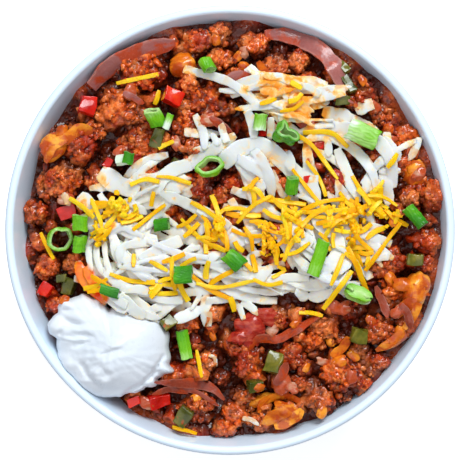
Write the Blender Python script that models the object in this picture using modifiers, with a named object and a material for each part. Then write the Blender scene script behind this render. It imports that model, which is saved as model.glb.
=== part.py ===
"""A white glazed bowl of chili con carne under grated cheese, sour cream and spring onion.

Metres, +Z up. The origin is the middle of the foot, on the table. +X is right and +Y is
away from the person who eats. The food is built in the order it is served: the chili in
the bowl, what shows of its vegetables, the pale cheese, the cheddar, the sour cream and
the spring onion. What lies on something is cut by it, GAP clear of it.
"""

import math

import bmesh
import bpy
from mathutils import Euler, Matrix, Vector, noise
from mathutils.bvhtree import BVHTree

# The bowl
RIM_RADIUS = 0.080
BOWL_HEIGHT = 0.066
WALL = 0.0032
FLARE = math.radians(14)  # lean of the upper wall from vertical
FLOOR = 0.010  # height of the inside floor
BELLY = 0.040  # radius of the curve between floor and wall, inside
FOOT_RADIUS = 0.0385
FOOT_WIDTH = 0.0035
FOOT_EASE = 0.0006  # small bevel at the foot's edges
BOWL_STEPS = 40

# The chili
EDGE_HEIGHT = 0.0574  # its mean height at the wall
TILT = Vector((0.0045, 0.0015))  # how much higher it lies at the right wall, and the far one
MOUND = 0.0050  # rise from the wall to the middle
LUMP_SIZE = 0.0140
LUMP_HEIGHT = 0.0062
CELL = 0.0049  # spacing of the points of its top

# The two cheeses: the middle, then the reach to the edge at equal steps of angle from +X
PALE_MIDDLE = Vector((0.002, 0.009))
PALE_REACH = (58, 58, 45, 45, 43, 40, 35, 49, 56, 58, 51, 48, 42, 41, 47, 55)
PALE_THICKNESS = 0.0058
CHEDDAR_MIDDLE = Vector((0.0115, 0.005))
CHEDDAR_REACH = (46, 35, 18, 26, 45, 40, 30, 40)
CHEDDAR_THICKNESS = 0.0030
EDGE_THICKNESS = 0.0017  # of a heap of cheese at its edge
SHRED_RIDGE = 0.0009  # relief of the shreds
HEAP_BOTTOM = 0.0480  # before the chili cuts a heap from below

# The sour cream
CREAM_MIDDLE = Vector((-0.0405, -0.0425, 0.0600))
CREAM_RADII = Vector((0.0190, 0.0182, 0.0150))
CREAM_CREASE = 0.0011
CREAM_SEGMENTS = 30
CREAM_RINGS = 18

GAP = 0.0003  # clearance between pieces that touch
MM = 0.001


def clear_scene():
    for obj in list(bpy.data.objects):
        bpy.data.objects.remove(obj, do_unlink=True)


def make_collection(name):
    collection = bpy.data.collections.new(name)
    bpy.context.scene.collection.children.link(collection)
    return collection


clear_scene()
FOOD = make_collection("chili_con_carne")
CUTTERS = make_collection("cutters")


def make_material(name, colour, roughness):
    material = bpy.data.materials.new(name)
    material.use_nodes = True
    shader = material.node_tree.nodes["Principled BSDF"]
    shader.inputs["Base Color"].default_value = (*colour, 1)
    shader.inputs["Roughness"].default_value = roughness
    shader.inputs["Metallic"].default_value = 0
    return material


CERAMIC = make_material("white_glaze", (0.86, 0.89, 0.93), 0.15)
CHILI = make_material("chili", (0.30, 0.07, 0.025), 0.35)
ONION = make_material("cooked_onion", (0.42, 0.14, 0.09), 0.3)
RED_PEPPER = make_material("red_pepper", (0.65, 0.02, 0.01), 0.25)
GREEN_PEPPER = make_material("green_pepper", (0.20, 0.17, 0.02), 0.25)
YELLOW_PEPPER = make_material("yellow_pepper", (0.60, 0.28, 0.06), 0.25)
PEPPERS = {"red": RED_PEPPER, "green": GREEN_PEPPER, "yellow": YELLOW_PEPPER}
PALE_CHEESE = make_material("pale_cheese", (0.85, 0.83, 0.72), 0.4)
CHEDDAR = make_material("cheddar", (0.95, 0.48, 0.03), 0.4)
CREAM = make_material("sour_cream", (0.90, 0.92, 0.94), 0.3)
SPRING_ONION = make_material("spring_onion", (0.13, 0.42, 0.04), 0.3)


# Making, shaping and cutting meshes


def steps_between(first, last, count):
    """count + 1 values, evenly spaced, ends included."""
    return [first + (last - first) * i / count for i in range(count + 1)]


def add_object(name, mesh, collection, material=None):
    obj = bpy.data.objects.new(name, mesh)
    collection.objects.link(obj)
    if material:
        mesh.materials.append(material)
    if collection == CUTTERS:
        obj.hide_render = True
        obj.display_type = "WIRE"
    return obj


def apply_modifiers(obj):
    graph = bpy.context.evaluated_depsgraph_get()
    mesh = bpy.data.meshes.new_from_object(obj.evaluated_get(graph), depsgraph=graph)
    obj.modifiers.clear()
    obj.data = mesh


def turned(name, profile, steps, collection, material=None):
    """A solid of revolution. The profile runs over the top, down the outside and back."""
    mesh = bpy.data.meshes.new(name)
    edges = [(i, i + 1) for i in range(len(profile) - 1)]
    mesh.from_pydata([(radius, 0, height) for radius, height in profile], edges, [])
    obj = add_object(name, mesh, collection, material)
    screw = obj.modifiers.new("turn", "SCREW")
    screw.steps = screw.render_steps = steps
    screw.use_merge_vertices = True
    screw.merge_threshold = 0.00005
    apply_modifiers(obj)
    return obj


def triangulate(mesh):
    """Splits every face, so that a shape and the cutter made from it bend along the same lines."""
    build = bmesh.new()
    build.from_mesh(mesh)
    bmesh.ops.triangulate(build, faces=list(build.faces))
    build.to_mesh(mesh)
    build.free()


def boolean(obj, other, operation):
    modifier = obj.modifiers.new(operation.lower(), "BOOLEAN")
    modifier.operation = operation
    modifier.object = other


def raised(obj):
    """A cutter of the same shape, GAP higher."""
    cutter = add_object(obj.name + "_raised", obj.data.copy(), CUTTERS)
    cutter.data.transform(Matrix.Translation((0, 0, GAP)))
    return cutter


def cut_by(obj, cutters):
    for cutter in cutters:
        boolean(obj, cutter, "DIFFERENCE")
    apply_modifiers(obj)


def closed_disc(name, rings, spokes, collection, material=None):
    """A flat drum one metre in radius from z 0 to 1, its top and bottom divided into rings."""
    radii = steps_between(0, 1, rings)
    profile = [(r, 1) for r in radii] + [(r, 0) for r in reversed(radii)]
    disc = turned(name, profile, spokes, collection, material)
    triangulate(disc.data)
    return disc


def closed_block(name, along, across, collection, material=None):
    """A block from -1 to 1 along X and Y and from z 0 to 1, its top and bottom in cells."""
    build = bmesh.new()
    bmesh.ops.create_grid(build, x_segments=along, y_segments=across, size=1)
    made = bmesh.ops.extrude_face_region(build, geom=list(build.faces))
    top = [item for item in made["geom"] if isinstance(item, bmesh.types.BMVert)]
    bmesh.ops.translate(build, vec=(0, 0, 1), verts=top)
    bmesh.ops.recalc_face_normals(build, faces=list(build.faces))
    mesh = bpy.data.meshes.new(name)
    build.to_mesh(mesh)
    build.free()
    triangulate(mesh)
    return add_object(name, mesh, collection, material)


def reach_at(reaches, angle):
    """The reach at an angle, on a smooth curve through values in mm at equal steps."""
    count = len(reaches)
    place = angle / math.tau * count
    start = math.floor(place)
    share = place - start
    before, first, last, after = (reaches[(start + i) % count] for i in (-1, 0, 1, 2))
    bend = 2 * before - 5 * first + 4 * last - after
    twist = after - before + 3 * (first - last)
    return MM * (first + 0.5 * share * (last - before + share * (bend + share * twist)))


def soften(obj, angle=math.radians(35)):
    obj.data.shade_smooth()
    obj.data.set_sharp_from_angle(angle=angle)


# The bowl


RIM_MIDDLE = Vector((RIM_RADIUS - WALL / 2, BOWL_HEIGHT - WALL / 2))
BELLY_HEIGHT = FLOOR + BELLY
MID_BELLY = BELLY + WALL / 2
BELLY_MIDDLE = (
    RIM_MIDDLE.x
    - (RIM_MIDDLE.y - BELLY_HEIGHT + MID_BELLY * math.sin(FLARE)) * math.tan(FLARE)
    - MID_BELLY * math.cos(FLARE)
)


def belly(offset, first, last, count):
    """Points of the curve between floor and wall, offset outwards from the inside surface."""
    radius = BELLY + offset
    return [
        (BELLY_MIDDLE + radius * math.cos(a), BELLY_HEIGHT + radius * math.sin(a))
        for a in steps_between(first, last, count)
    ]


def wall_radius(height, offset=0.0):
    """Radius of the upper wall's inside surface at a height."""
    tangent_height = BELLY_HEIGHT - (BELLY + offset) * math.sin(FLARE)
    tangent_radius = BELLY_MIDDLE + (BELLY + offset) * math.cos(FLARE)
    return tangent_radius + (height - tangent_height) * math.tan(FLARE)


def make_bowl():
    underside = FLOOR - WALL
    foot_angle = -math.acos((FOOT_RADIUS - BELLY_MIDDLE) / (BELLY + WALL))
    foot_inside = FOOT_RADIUS - FOOT_WIDTH
    inside = [(0, FLOOR)] + belly(0, -math.pi / 2, -FLARE, 5)
    rim = [
        (RIM_MIDDLE.x + WALL / 2 * math.cos(a), RIM_MIDDLE.y + WALL / 2 * math.sin(a))
        for a in steps_between(math.pi - FLARE, -FLARE, 5)
    ]
    outside = belly(WALL, -FLARE, foot_angle, 4)
    foot = [
        (FOOT_RADIUS, FOOT_EASE),
        (FOOT_RADIUS - FOOT_EASE, 0),
        (foot_inside + FOOT_EASE, 0),
        (foot_inside, FOOT_EASE),
        (foot_inside, underside),
        (0, underside),
    ]
    bowl = turned("bowl", inside + rim + outside + foot, BOWL_STEPS, FOOD, CERAMIC)
    soften(bowl)
    return bowl


def make_inside_cutter():
    """The hollow of the bowl, GAP clear of its wall, and straight up above the rim."""
    above = BOWL_HEIGHT + 0.03
    rim_radius = wall_radius(BOWL_HEIGHT) - GAP
    wall = belly(-GAP, -math.pi / 2, -FLARE, 5) + [(rim_radius, BOWL_HEIGHT)]
    profile = [(0, above), (rim_radius, above)] + wall[::-1] + [(0, FLOOR + GAP)]
    return turned("inside_of_bowl", profile, BOWL_STEPS, CUTTERS)


# The chili


def bed(x, y):
    """Height of the chili without its lumps."""
    outwards = (x * x + y * y) / RIM_RADIUS**2
    return EDGE_HEIGHT + TILT.dot((x, y)) / RIM_RADIUS + MOUND * max(0, 1 - outwards)


def chili_height(x, y):
    """Height of the chili: rounded lumps of mince with creases between them."""
    nearest = noise.voronoi(Vector((x, y, 0)) / LUMP_SIZE)[0][0]
    return bed(x, y) + LUMP_HEIGHT * (0.5 - min(1.2, nearest) ** 2)


def make_chili(inside):
    """The lumpy top runs past the wall as a wide block, and the hollow of the bowl cuts it out."""
    half = RIM_RADIUS + CELL
    cells = round(2 * half / CELL)
    block = closed_block("chili_block", cells, cells, CUTTERS)
    for vertex in block.data.vertices:
        x, y, level = vertex.co
        x, y = x * half, y * half
        vertex.co = (x, y, chili_height(x, y) if level > 0.5 else 0)
    chili = add_object("chili", block.data.copy(), FOOD, CHILI)
    boolean(chili, inside, "INTERSECT")
    apply_modifiers(chili)
    soften(chili)
    return chili, raised(block)


# What shows of the vegetables in the chili. Places and headings are in plan, in metres and degrees.

ONION_STRIPS = {  # start, middle and end of the arc, width, thickness
    "onion_strip_left": ((-0.0490, 0.0535), (-0.0390, 0.0610), (-0.0200, 0.0660), 0.0052, 0.0034),
    "onion_strip_far": ((0.0150, 0.0675), (0.0300, 0.0625), (0.0395, 0.0510), 0.0085, 0.0022),
    "onion_strip_right": ((0.0080, -0.0415), (0.0200, -0.0370), (0.0335, -0.0295), 0.0038, 0.0026),
    "onion_strip_near": ((-0.0205, -0.0562), (-0.0140, -0.0545), (-0.0030, -0.0590), 0.0075, 0.0024),
}
DICED_PIECES = {  # place, heading, length, width, how far it stands up
    "red_pepper_1": ((-0.0510, 0.0445), 80, 0.0068, 0.0056, 0.0045),
    "red_pepper_2": ((-0.0205, 0.0475), -25, 0.0076, 0.0062, 0.0035),
    "red_pepper_3": ((-0.0255, -0.0612), 12, 0.0076, 0.0048, 0.0040),
    "red_pepper_4": ((-0.0665, -0.0215), 60, 0.0050, 0.0045, 0.0030),
    "green_pepper_1": ((0.0460, -0.0375), -12, 0.0066, 0.0056, 0.0035),
    "green_pepper_2": ((0.0155, -0.0475), 70, 0.0086, 0.0066, 0.0025),
    "green_pepper_3": ((0.0090, -0.0555), 5, 0.0062, 0.0042, 0.0030),
    "green_pepper_4": ((-0.0585, -0.0205), 75, 0.0068, 0.0052, 0.0030),
    "green_pepper_5": ((-0.0165, -0.0668), 60, 0.0074, 0.0062, 0.0025),
    "yellow_pepper_1": ((-0.0630, 0.0300), 40, 0.0085, 0.0078, 0.0035),
    "yellow_pepper_2": ((0.0665, 0.0203), 80, 0.0084, 0.0074, 0.0035),
    "yellow_pepper_3": ((0.0665, -0.0215), 70, 0.0105, 0.0066, 0.0030),
    "yellow_pepper_4": ((0.0595, -0.0385), 35, 0.0100, 0.0042, 0.0030),
    "yellow_pepper_5": ((0.0120, -0.0615), 20, 0.0085, 0.0045, 0.0030),
    "yellow_pepper_6": ((0.0205, -0.0635), -15, 0.0080, 0.0045, 0.0030),
    "yellow_pepper_7": ((-0.0165, 0.0590), 20, 0.0082, 0.0066, 0.0030),
}
SUNK = 0.0040  # depth to which such a piece is modelled before the chili cuts it


def make_onion_strip(name, start, middle, end, width, thickness):
    """A bent strip that follows the lumps under it, crowned across its width."""
    strip = closed_block(name, 8, 2, FOOD, ONION)
    start, middle, end = Vector(start), Vector(middle), Vector(end)
    for vertex in strip.data.vertices:
        along, across, level = vertex.co
        share = (along + 1) / 2
        centre = (1 - share) ** 2 * start + share**2 * end
        centre += 2 * share * (1 - share) * (2 * middle - (start + end) / 2)
        ahead = (end - start).normalized()
        side = Vector((-ahead.y, ahead.x))
        taper = 1 - 0.35 * abs(along) ** 3
        place = centre + side * across * width / 2 * taper
        rise = thickness * (1 - 0.3 * across**2) if level > 0.5 else -SUNK
        vertex.co = (*place, chili_height(*place) + rise)
    return strip


def make_pepper_piece(name, place, heading, length, width, rise):
    """A diced piece with eased edges, tipped by the lump it lies on."""
    build = bmesh.new()
    bmesh.ops.create_cube(build, size=1)
    size = Vector((length, width, rise + SUNK))
    bmesh.ops.scale(build, vec=size, verts=build.verts)
    ease = width * 0.16
    bmesh.ops.bevel(build, geom=list(build.edges), offset=ease, segments=1, affect="EDGES")
    mesh = bpy.data.meshes.new(name)
    build.to_mesh(mesh)
    build.free()
    piece = add_object(name, mesh, FOOD, PEPPERS[name.partition("_")[0]])
    tip = math.radians(12) * noise.noise(Vector((*place, 0)) / LUMP_SIZE * 3)
    turn = Euler((tip, -tip, math.radians(heading)))
    middle = Vector((*place, chili_height(*place) + (rise - SUNK) / 2))
    mesh.transform(Matrix.LocRotScale(middle, turn, None))
    return piece


def make_vegetables(inside, cutters):
    pieces = [make_onion_strip(name, *sizes) for name, sizes in ONION_STRIPS.items()]
    pieces += [make_pepper_piece(name, *sizes) for name, sizes in DICED_PIECES.items()]
    for piece in pieces:
        boolean(piece, inside, "INTERSECT")
        cut_by(piece, cutters)
        soften(piece)
    return pieces


# The cheeses


def shred_relief(x, y, pitch):
    """Ridges of shreds that cross each other in all directions, from 0 to 1."""
    drift = 3 * noise.noise(Vector((x, y, 0.02)) / 0.03)
    wave = math.sin((x * math.cos(drift) + y * math.sin(drift)) / pitch * math.tau)
    return 0.5 + 0.5 * wave * noise.noise(Vector((x, y, 0.05)) / 0.008)


def edge_share(x, y, middle, reaches):
    """How far a point is from the middle of a heap, as a share of the heap's reach there."""
    offset = Vector((x, y)) - middle
    return offset.length / reach_at(reaches, math.atan2(offset.y, offset.x) % math.tau)


def pale_height(x, y):
    """Height of the pale cheese, which hides every lump under it."""
    share = min(1, edge_share(x, y, PALE_MIDDLE, PALE_REACH))
    mound = bed(x, y) + PALE_THICKNESS * (1 - share**2) + 2 * SHRED_RIDGE
    cover = chili_height(x, y) + EDGE_THICKNESS
    return max(mound, cover) + SHRED_RIDGE * shred_relief(x, y, 0.0055)


def cheddar_height(x, y):
    share = min(1, edge_share(x, y, CHEDDAR_MIDDLE, CHEDDAR_REACH))
    rise = EDGE_THICKNESS + (CHEDDAR_THICKNESS - EDGE_THICKNESS) * (1 - share**2)
    return pale_height(x, y) + rise + SHRED_RIDGE * shred_relief(y, x, 0.0040)


def make_heap(name, middle, reaches, height, rings, spokes, material=None):
    """A heap of shreds: its outline in and out by the ends of the shreds, its top by height."""
    grow = 0 if material else GAP
    heap = closed_disc(name, rings, spokes, FOOD if material else CUTTERS, material)
    for vertex in heap.data.vertices:
        angle = math.atan2(vertex.co.y, vertex.co.x) % math.tau
        share = math.hypot(vertex.co.x, vertex.co.y)
        ends = 1 + 0.09 * share**4 * noise.noise(Vector((9 * angle, 0, share)))
        narrowed = 1.0 if vertex.co.z > 0.5 else 1.03
        reach = reach_at(reaches, angle) * ends * narrowed + grow
        place = middle + Vector((vertex.co.x, vertex.co.y)) * reach
        top = height(*place) + grow if vertex.co.z > 0.5 else HEAP_BOTTOM - grow
        vertex.co = (*place, top)
    return heap


def make_pale_cheese(cutters):
    shape = (PALE_MIDDLE, PALE_REACH, pale_height, 6, 32)
    heap = make_heap("pale_cheese", *shape, PALE_CHEESE)
    cut_by(heap, cutters)
    soften(heap)
    return heap, make_heap("pale_cheese_cutter", *shape)


def make_cheddar(cutters):
    heap = make_heap("cheddar", CHEDDAR_MIDDLE, CHEDDAR_REACH, cheddar_height, 5, 24, CHEDDAR)
    cut_by(heap, cutters)
    soften(heap)
    return heap


# The sour cream


CREAM_LOBES = (  # direction in plan, lift, how much it adds to the radius, how narrow it is
    (163, -0.05, 0.30, 9),  # tail that the spoon dragged to the left
    (125, 0.05, 0.22, 7),  # shoulder towards the cheese
    (172, -0.25, 0.24, 60),  # knob at the wall
    (-20, -0.45, 0.20, 22),  # torn skirt, low on the right
    (-58, -0.45, 0.14, 16),
    (30, 0.10, 0.06, 6),
)


def crease(place, start, end, width):
    """1 on the line from start to end in plan, falling to 0 at a width's distance from it."""
    line = end - start
    share = max(0, min(1, (place - start).dot(line) / line.length_squared))
    away = (place - start - line * share).length / width
    return max(0, 1 - away**2) * math.sin(math.pi * min(1, share + 0.15)) ** 0.5


def cream_creases(x, y):
    """Drag marks of the spoon on the left, and the fold where the dollop closed on itself."""
    place = Vector((x, y))
    depth = 0
    for row in range(4):
        level = -0.0275 - 0.0035 * row
        depth += crease(place, Vector((-0.0580, level - 0.001)), Vector((-0.0440, level)), 0.0016)
    depth += crease(place, Vector((-0.0500, -0.0480)), Vector((-0.0440, -0.0560)), 0.0022)
    depth += crease(place, Vector((-0.0455, -0.0440)), Vector((-0.0385, -0.0405)), 0.0020)
    return depth


def make_sour_cream(inside, cutters):
    """A round ball with lobes pushed out of it and creases pressed into its upper side."""
    build = bmesh.new()
    bmesh.ops.create_uvsphere(build, u_segments=CREAM_SEGMENTS, v_segments=CREAM_RINGS, radius=1)
    for vertex in build.verts:
        facing = vertex.co.normalized()
        swell = 1 + 0.035 * noise.noise(facing * 2.5)
        for heading, lift, push, narrow in CREAM_LOBES:
            flat = math.radians(heading)
            lobe = Vector((math.cos(flat), math.sin(flat), lift)).normalized()
            swell += push * math.exp(-narrow * (1 - facing.dot(lobe)))
        if facing.z < 0:
            swell += 0.05 * noise.noise(Vector((facing.x, facing.y, 0)) * 6)
        place = CREAM_MIDDLE + Vector(f * r * swell for f, r in zip(facing, CREAM_RADII))
        if facing.z > 0.1:
            place -= facing * CREAM_CREASE * cream_creases(place.x, place.y)
        vertex.co = place
    mesh = bpy.data.meshes.new("sour_cream")
    build.to_mesh(mesh)
    build.free()
    cream = add_object("sour_cream", mesh, FOOD, CREAM)
    boolean(cream, inside, "INTERSECT")
    cut_by(cream, cutters)
    soften(cream, math.radians(60))
    return cream


# The spring onion

SPRING_ONION_PIECES = (  # place, diameter, flattening, length, heading, lean from upright
    ((-0.0080, 0.0585), 0.0062, 0.9, 0.0050, -60, 70),
    ((-0.0268, 0.0399), 0.0080, 0.8, 0.0080, 115, 75),
    ((-0.0381, 0.0250), 0.0048, 0.9, 0.0085, 0, 85),
    ((-0.0073, 0.0225), 0.0115, 0.6, 0.0036, 12, 12),
    ((-0.0243, 0.0020), 0.0046, 0.8, 0.0052, 8, 88),
    ((-0.0534, 0.0025), 0.0056, 0.9, 0.0056, 92, 86),
    ((-0.0538, -0.0050), 0.0056, 0.9, 0.0062, 82, 86),
    ((-0.0612, -0.0032), 0.0098, 0.85, 0.0040, 0, 14),
    ((0.0105, 0.0381), 0.0050, 0.8, 0.0056, 80, 84),
    ((0.0193, 0.0342), 0.0086, 0.7, 0.0052, 30, 30),
    ((0.0470, 0.0339), 0.0100, 0.6, 0.0112, -25, 86),
    ((0.0218, 0.0158), 0.0050, 0.9, 0.0060, 85, 78),
    ((0.0655, 0.0048), 0.0056, 0.9, 0.0095, -50, 86),
    ((-0.0165, -0.0158), 0.0062, 0.7, 0.0066, 5, 84),
    ((-0.0425, -0.0215), 0.0042, 0.6, 0.0068, -18, 88),
    ((-0.0165, -0.0410), 0.0052, 0.7, 0.0112, 100, 88),
    ((0.0016, -0.0105), 0.0060, 0.7, 0.0072, -40, 84),
    ((0.0310, -0.0098), 0.0062, 0.7, 0.0136, 72, 88),
    ((0.0449, -0.0225), 0.0104, 0.55, 0.0038, -20, 20),
)
STALK_WALL = 0.20  # share of the stalk's diameter
STALK_STEPS = 10


def make_stalk_piece(name, diameter, flattening, length):
    """A short cut of the hollow stalk, its axis along Z, flattened across X."""
    outer = diameter / 2
    inner = outer - diameter * STALK_WALL
    half = length / 2
    profile = [(inner, half), (outer, half), (outer, -half), (inner, -half), (inner, half)]
    piece = turned(name, profile, STALK_STEPS, FOOD, SPRING_ONION)
    piece.data.transform(Matrix.Diagonal((flattening, 1, 1, 1)))
    return piece


def drop(piece, supports):
    """Lowers a piece straight down until it rests on the highest thing under it."""
    trees = [BVHTree.FromObject(s, bpy.context.evaluated_depsgraph_get()) for s in supports]
    own = BVHTree.FromObject(piece, bpy.context.evaluated_depsgraph_get())
    down = Vector((0, 0, -1))
    free = []
    for vertex in piece.data.vertices:
        hits = [tree.ray_cast(vertex.co, down)[3] for tree in trees]
        free += [distance for distance in hits if distance is not None]
    for support in supports:
        for vertex in support.data.vertices:
            distance = own.ray_cast(vertex.co, -down)[3]
            free += [distance] if distance is not None else []
    piece.data.transform(Matrix.Translation((0, 0, 1.5 * GAP - min(free))))


def make_spring_onion(supports):
    for number, sizes in enumerate(SPRING_ONION_PIECES, 1):
        place, diameter, flattening, length, heading, lean = sizes
        piece = make_stalk_piece(f"spring_onion_{number:02d}", diameter, flattening, length)
        turn = Euler((0, math.radians(lean), math.radians(heading)))
        above = Vector((*place, BOWL_HEIGHT + 0.05))
        piece.data.transform(Matrix.LocRotScale(above, turn, None))
        drop(piece, supports)
        soften(piece)
        supports.append(piece)


def make_all():
    bowl = make_bowl()
    inside = make_inside_cutter()
    chili, chili_cutter = make_chili(inside)
    vegetables = make_vegetables(inside, [chili_cutter])
    pale_cheese, pale_cutter = make_pale_cheese([chili_cutter])
    cheddar = make_cheddar([chili_cutter, pale_cutter])
    cream = make_sour_cream(inside, [chili_cutter, pale_cutter])
    make_spring_onion([bowl, chili, pale_cheese, cheddar, cream, *vegetables])


make_all()
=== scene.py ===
import math
import random

import bpy
import numpy as np
from mathutils import Euler, Matrix, Vector, noise
from mathutils.bvhtree import BVHTree


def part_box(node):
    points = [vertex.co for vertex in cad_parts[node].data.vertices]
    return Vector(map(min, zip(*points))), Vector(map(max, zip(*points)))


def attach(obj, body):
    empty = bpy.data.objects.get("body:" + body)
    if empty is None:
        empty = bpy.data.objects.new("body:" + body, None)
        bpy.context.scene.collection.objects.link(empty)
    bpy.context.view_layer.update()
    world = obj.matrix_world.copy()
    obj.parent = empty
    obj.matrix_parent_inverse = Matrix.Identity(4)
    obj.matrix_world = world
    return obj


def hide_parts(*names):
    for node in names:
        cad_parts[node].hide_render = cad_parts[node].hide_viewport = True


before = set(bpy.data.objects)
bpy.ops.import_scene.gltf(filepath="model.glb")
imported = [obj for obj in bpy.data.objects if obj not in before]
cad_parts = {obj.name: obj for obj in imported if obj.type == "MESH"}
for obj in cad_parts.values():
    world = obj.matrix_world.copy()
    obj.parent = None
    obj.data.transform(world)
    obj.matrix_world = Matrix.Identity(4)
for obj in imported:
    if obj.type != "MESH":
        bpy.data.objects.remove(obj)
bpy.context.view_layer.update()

mm = 0.001
up = Vector((0, 0, 1))
overhead = 0.12  # where rays that look for what lies below start
dropFrom = 0.1  # where pieces are made before they are laid on what is below
noise.seed_set(7)  # without it, noise vectors would change with each run


# shared helpers

def evenly(first, last, count):
    return [first + (last - first) * i / count for i in range(count + 1)]


def headed(heading, length):
    return Vector((math.cos(heading), math.sin(heading))) * length


def leftOf(ahead):
    return Vector((-ahead.y, ahead.x))


def pick(*objs):
    for other in bpy.context.selected_objects:
        other.select_set(False)
    for obj in objs:
        obj.select_set(True)
    bpy.context.view_layer.objects.active = objs[0]


def applyAll(obj):
    pick(obj)
    for modifier in list(obj.modifiers):
        bpy.ops.object.modifier_apply(modifier=modifier.name)


def enterEdit():
    bpy.ops.object.mode_set(mode="EDIT")


def editAll(action):
    enterEdit()
    bpy.ops.mesh.select_all(action=action)


def leaveEdit():
    bpy.ops.object.mode_set(mode="OBJECT")


def settle(obj):
    pick(obj)
    bpy.ops.object.transform_apply(location=True, rotation=True, scale=True)


def joinUp(objs, name):
    pick(*objs)
    bpy.ops.object.join()
    made = bpy.context.object
    made.name = made.data.name = name
    settle(made)
    return made


def smoothAll(obj, angle=None):
    pick(obj)
    if angle is None:
        bpy.ops.object.shade_smooth()
    else:
        bpy.ops.object.shade_smooth_by_angle(angle=math.radians(angle))


def linked(made):
    bpy.context.scene.collection.objects.link(made)
    return made


def copyOf(master, matrix):
    made = linked(master.copy())
    made.data = master.data.copy()
    made.matrix_world = matrix
    return made


def discard(*objs):
    for obj in objs:
        bpy.data.objects.remove(obj, do_unlink=True)


def treeOf(*objs):
    points, faces = [], []
    for obj in objs:
        start = len(points)
        points += [vertex.co.copy() for vertex in obj.data.vertices]
        faces += [[start + i for i in polygon.vertices] for polygon in obj.data.polygons]
    return BVHTree.FromPolygons(points, faces)


def markPoints(obj, name, valueAt):
    mark = obj.data.attributes.new(name, "FLOAT", "POINT")
    for vertex in obj.data.vertices:
        mark.data[vertex.index].value = valueAt(vertex)


def finishPiece(obj, material, slotName, *nodes):
    obj.data.materials.clear()
    obj.data.materials.append(material)
    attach(obj, "root")
    if nodes:
        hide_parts(*nodes)


# material helpers

def treeIn(owner):
    return owner if isinstance(owner, bpy.types.NodeTree) else owner.node_tree


def newMaterial(name):
    made = bpy.data.materials.new(name)
    made.use_nodes = True
    return made


def addNode(owner, kind, values=None, **settings):
    tree = treeIn(owner)
    node = tree.nodes.new(kind)
    for key, value in settings.items():
        setattr(node, key, value)
    for socket, value in (values or {}).items():
        if isinstance(value, bpy.types.NodeSocket):
            tree.links.new(value, node.inputs[socket])
        else:
            node.inputs[socket].default_value = value
    return node


def place(owner):
    return addNode(owner, "ShaderNodeTexCoord").outputs["Object"]


def marked(owner, name):
    return addNode(owner, "ShaderNodeAttribute", attribute_name=name).outputs["Fac"]


def eachBit(owner):
    return addNode(owner, "ShaderNodeNewGeometry").outputs["Random Per Island"]


def spots(owner, scale, detail=2.0, roughness=0.5, distortion=0.0):
    values = {"Vector": place(owner), "Scale": scale, "Detail": detail}
    values |= {"Roughness": roughness, "Distortion": distortion}
    return addNode(owner, "ShaderNodeTexNoise", values).outputs["Fac"]


def ramp(owner, factor, stops):
    node = addNode(owner, "ShaderNodeValToRGB", {"Fac": factor})
    elements = node.color_ramp.elements
    while len(elements) < len(stops):
        elements.new(0.5)
    for element, (position, colour) in zip(elements, stops):
        element.position = position
        element.color = (*colour, 1)
    return node.outputs["Color"]


def between(owner, value, low, high, toLow=0.0, toHigh=1.0):
    values = {"Value": value, "From Min": low, "From Max": high, "To Min": toLow, "To Max": toHigh}
    return addNode(owner, "ShaderNodeMapRange", values).outputs["Result"]


def blendColours(owner, share, first, second):
    node = addNode(owner, "ShaderNodeMix", data_type="RGBA")
    links = treeIn(owner).links
    for index, value in ((0, share), (6, first), (7, second)):
        if isinstance(value, bpy.types.NodeSocket):
            links.new(value, node.inputs[index])
        else:
            node.inputs[index].default_value = (*value, 1) if index else value
    return node.outputs[2]


def calculate(owner, operation, first, second=0.0):
    return addNode(owner, "ShaderNodeMath", {0: first, 1: second}, operation=operation).outputs[0]


def waves(owner, value, count):
    return calculate(owner, "SINE", calculate(owner, "MULTIPLY", value, 6.2832 * count))


def wire(material, **inputs):
    shader = material.node_tree.nodes["Principled BSDF"]
    for key, value in inputs.items():
        socket = shader.inputs[key.replace("_", " ")]
        if isinstance(value, bpy.types.NodeSocket):
            material.node_tree.links.new(value, socket)
        else:
            socket.default_value = value


def bumped(owner, height, strength, distance, under=None):
    values = {"Height": height, "Strength": strength, "Distance": distance}
    if under:
        values["Normal"] = under
    return addNode(owner, "ShaderNodeBump", values).outputs["Normal"]


# effects which more than one material uses

def newGroup(name, inputs, outputs):
    group = bpy.data.node_groups.new(name, "ShaderNodeTree")
    for label, kind in inputs.items():
        group.interface.new_socket(label, in_out="INPUT", socket_type="NodeSocket" + kind)
    for label, kind in outputs.items():
        group.interface.new_socket(label, in_out="OUTPUT", socket_type="NodeSocket" + kind)
    given = group.nodes.new("NodeGroupInput").outputs
    return group, given, group.nodes.new("NodeGroupOutput").inputs


def put(owner, group, **values):
    named = {key.replace("_", " "): value for key, value in values.items()}
    return addNode(owner, "ShaderNodeGroup", named, node_tree=group).outputs


def makeFineGrain():
    inputs = {"Scale": "Float", "Detail": "Float", "Smoothest": "Float", "Roughest": "Float"}
    group, given, result = newGroup("fineGrain", inputs, {"Height": "Float", "Roughness": "Float"})
    height = spots(group, given["Scale"], given["Detail"])
    roughness = between(group, height, 0.3, 0.7, given["Smoothest"], given["Roughest"])
    group.links.new(height, result["Height"])
    group.links.new(roughness, result["Roughness"])
    return group


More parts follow.
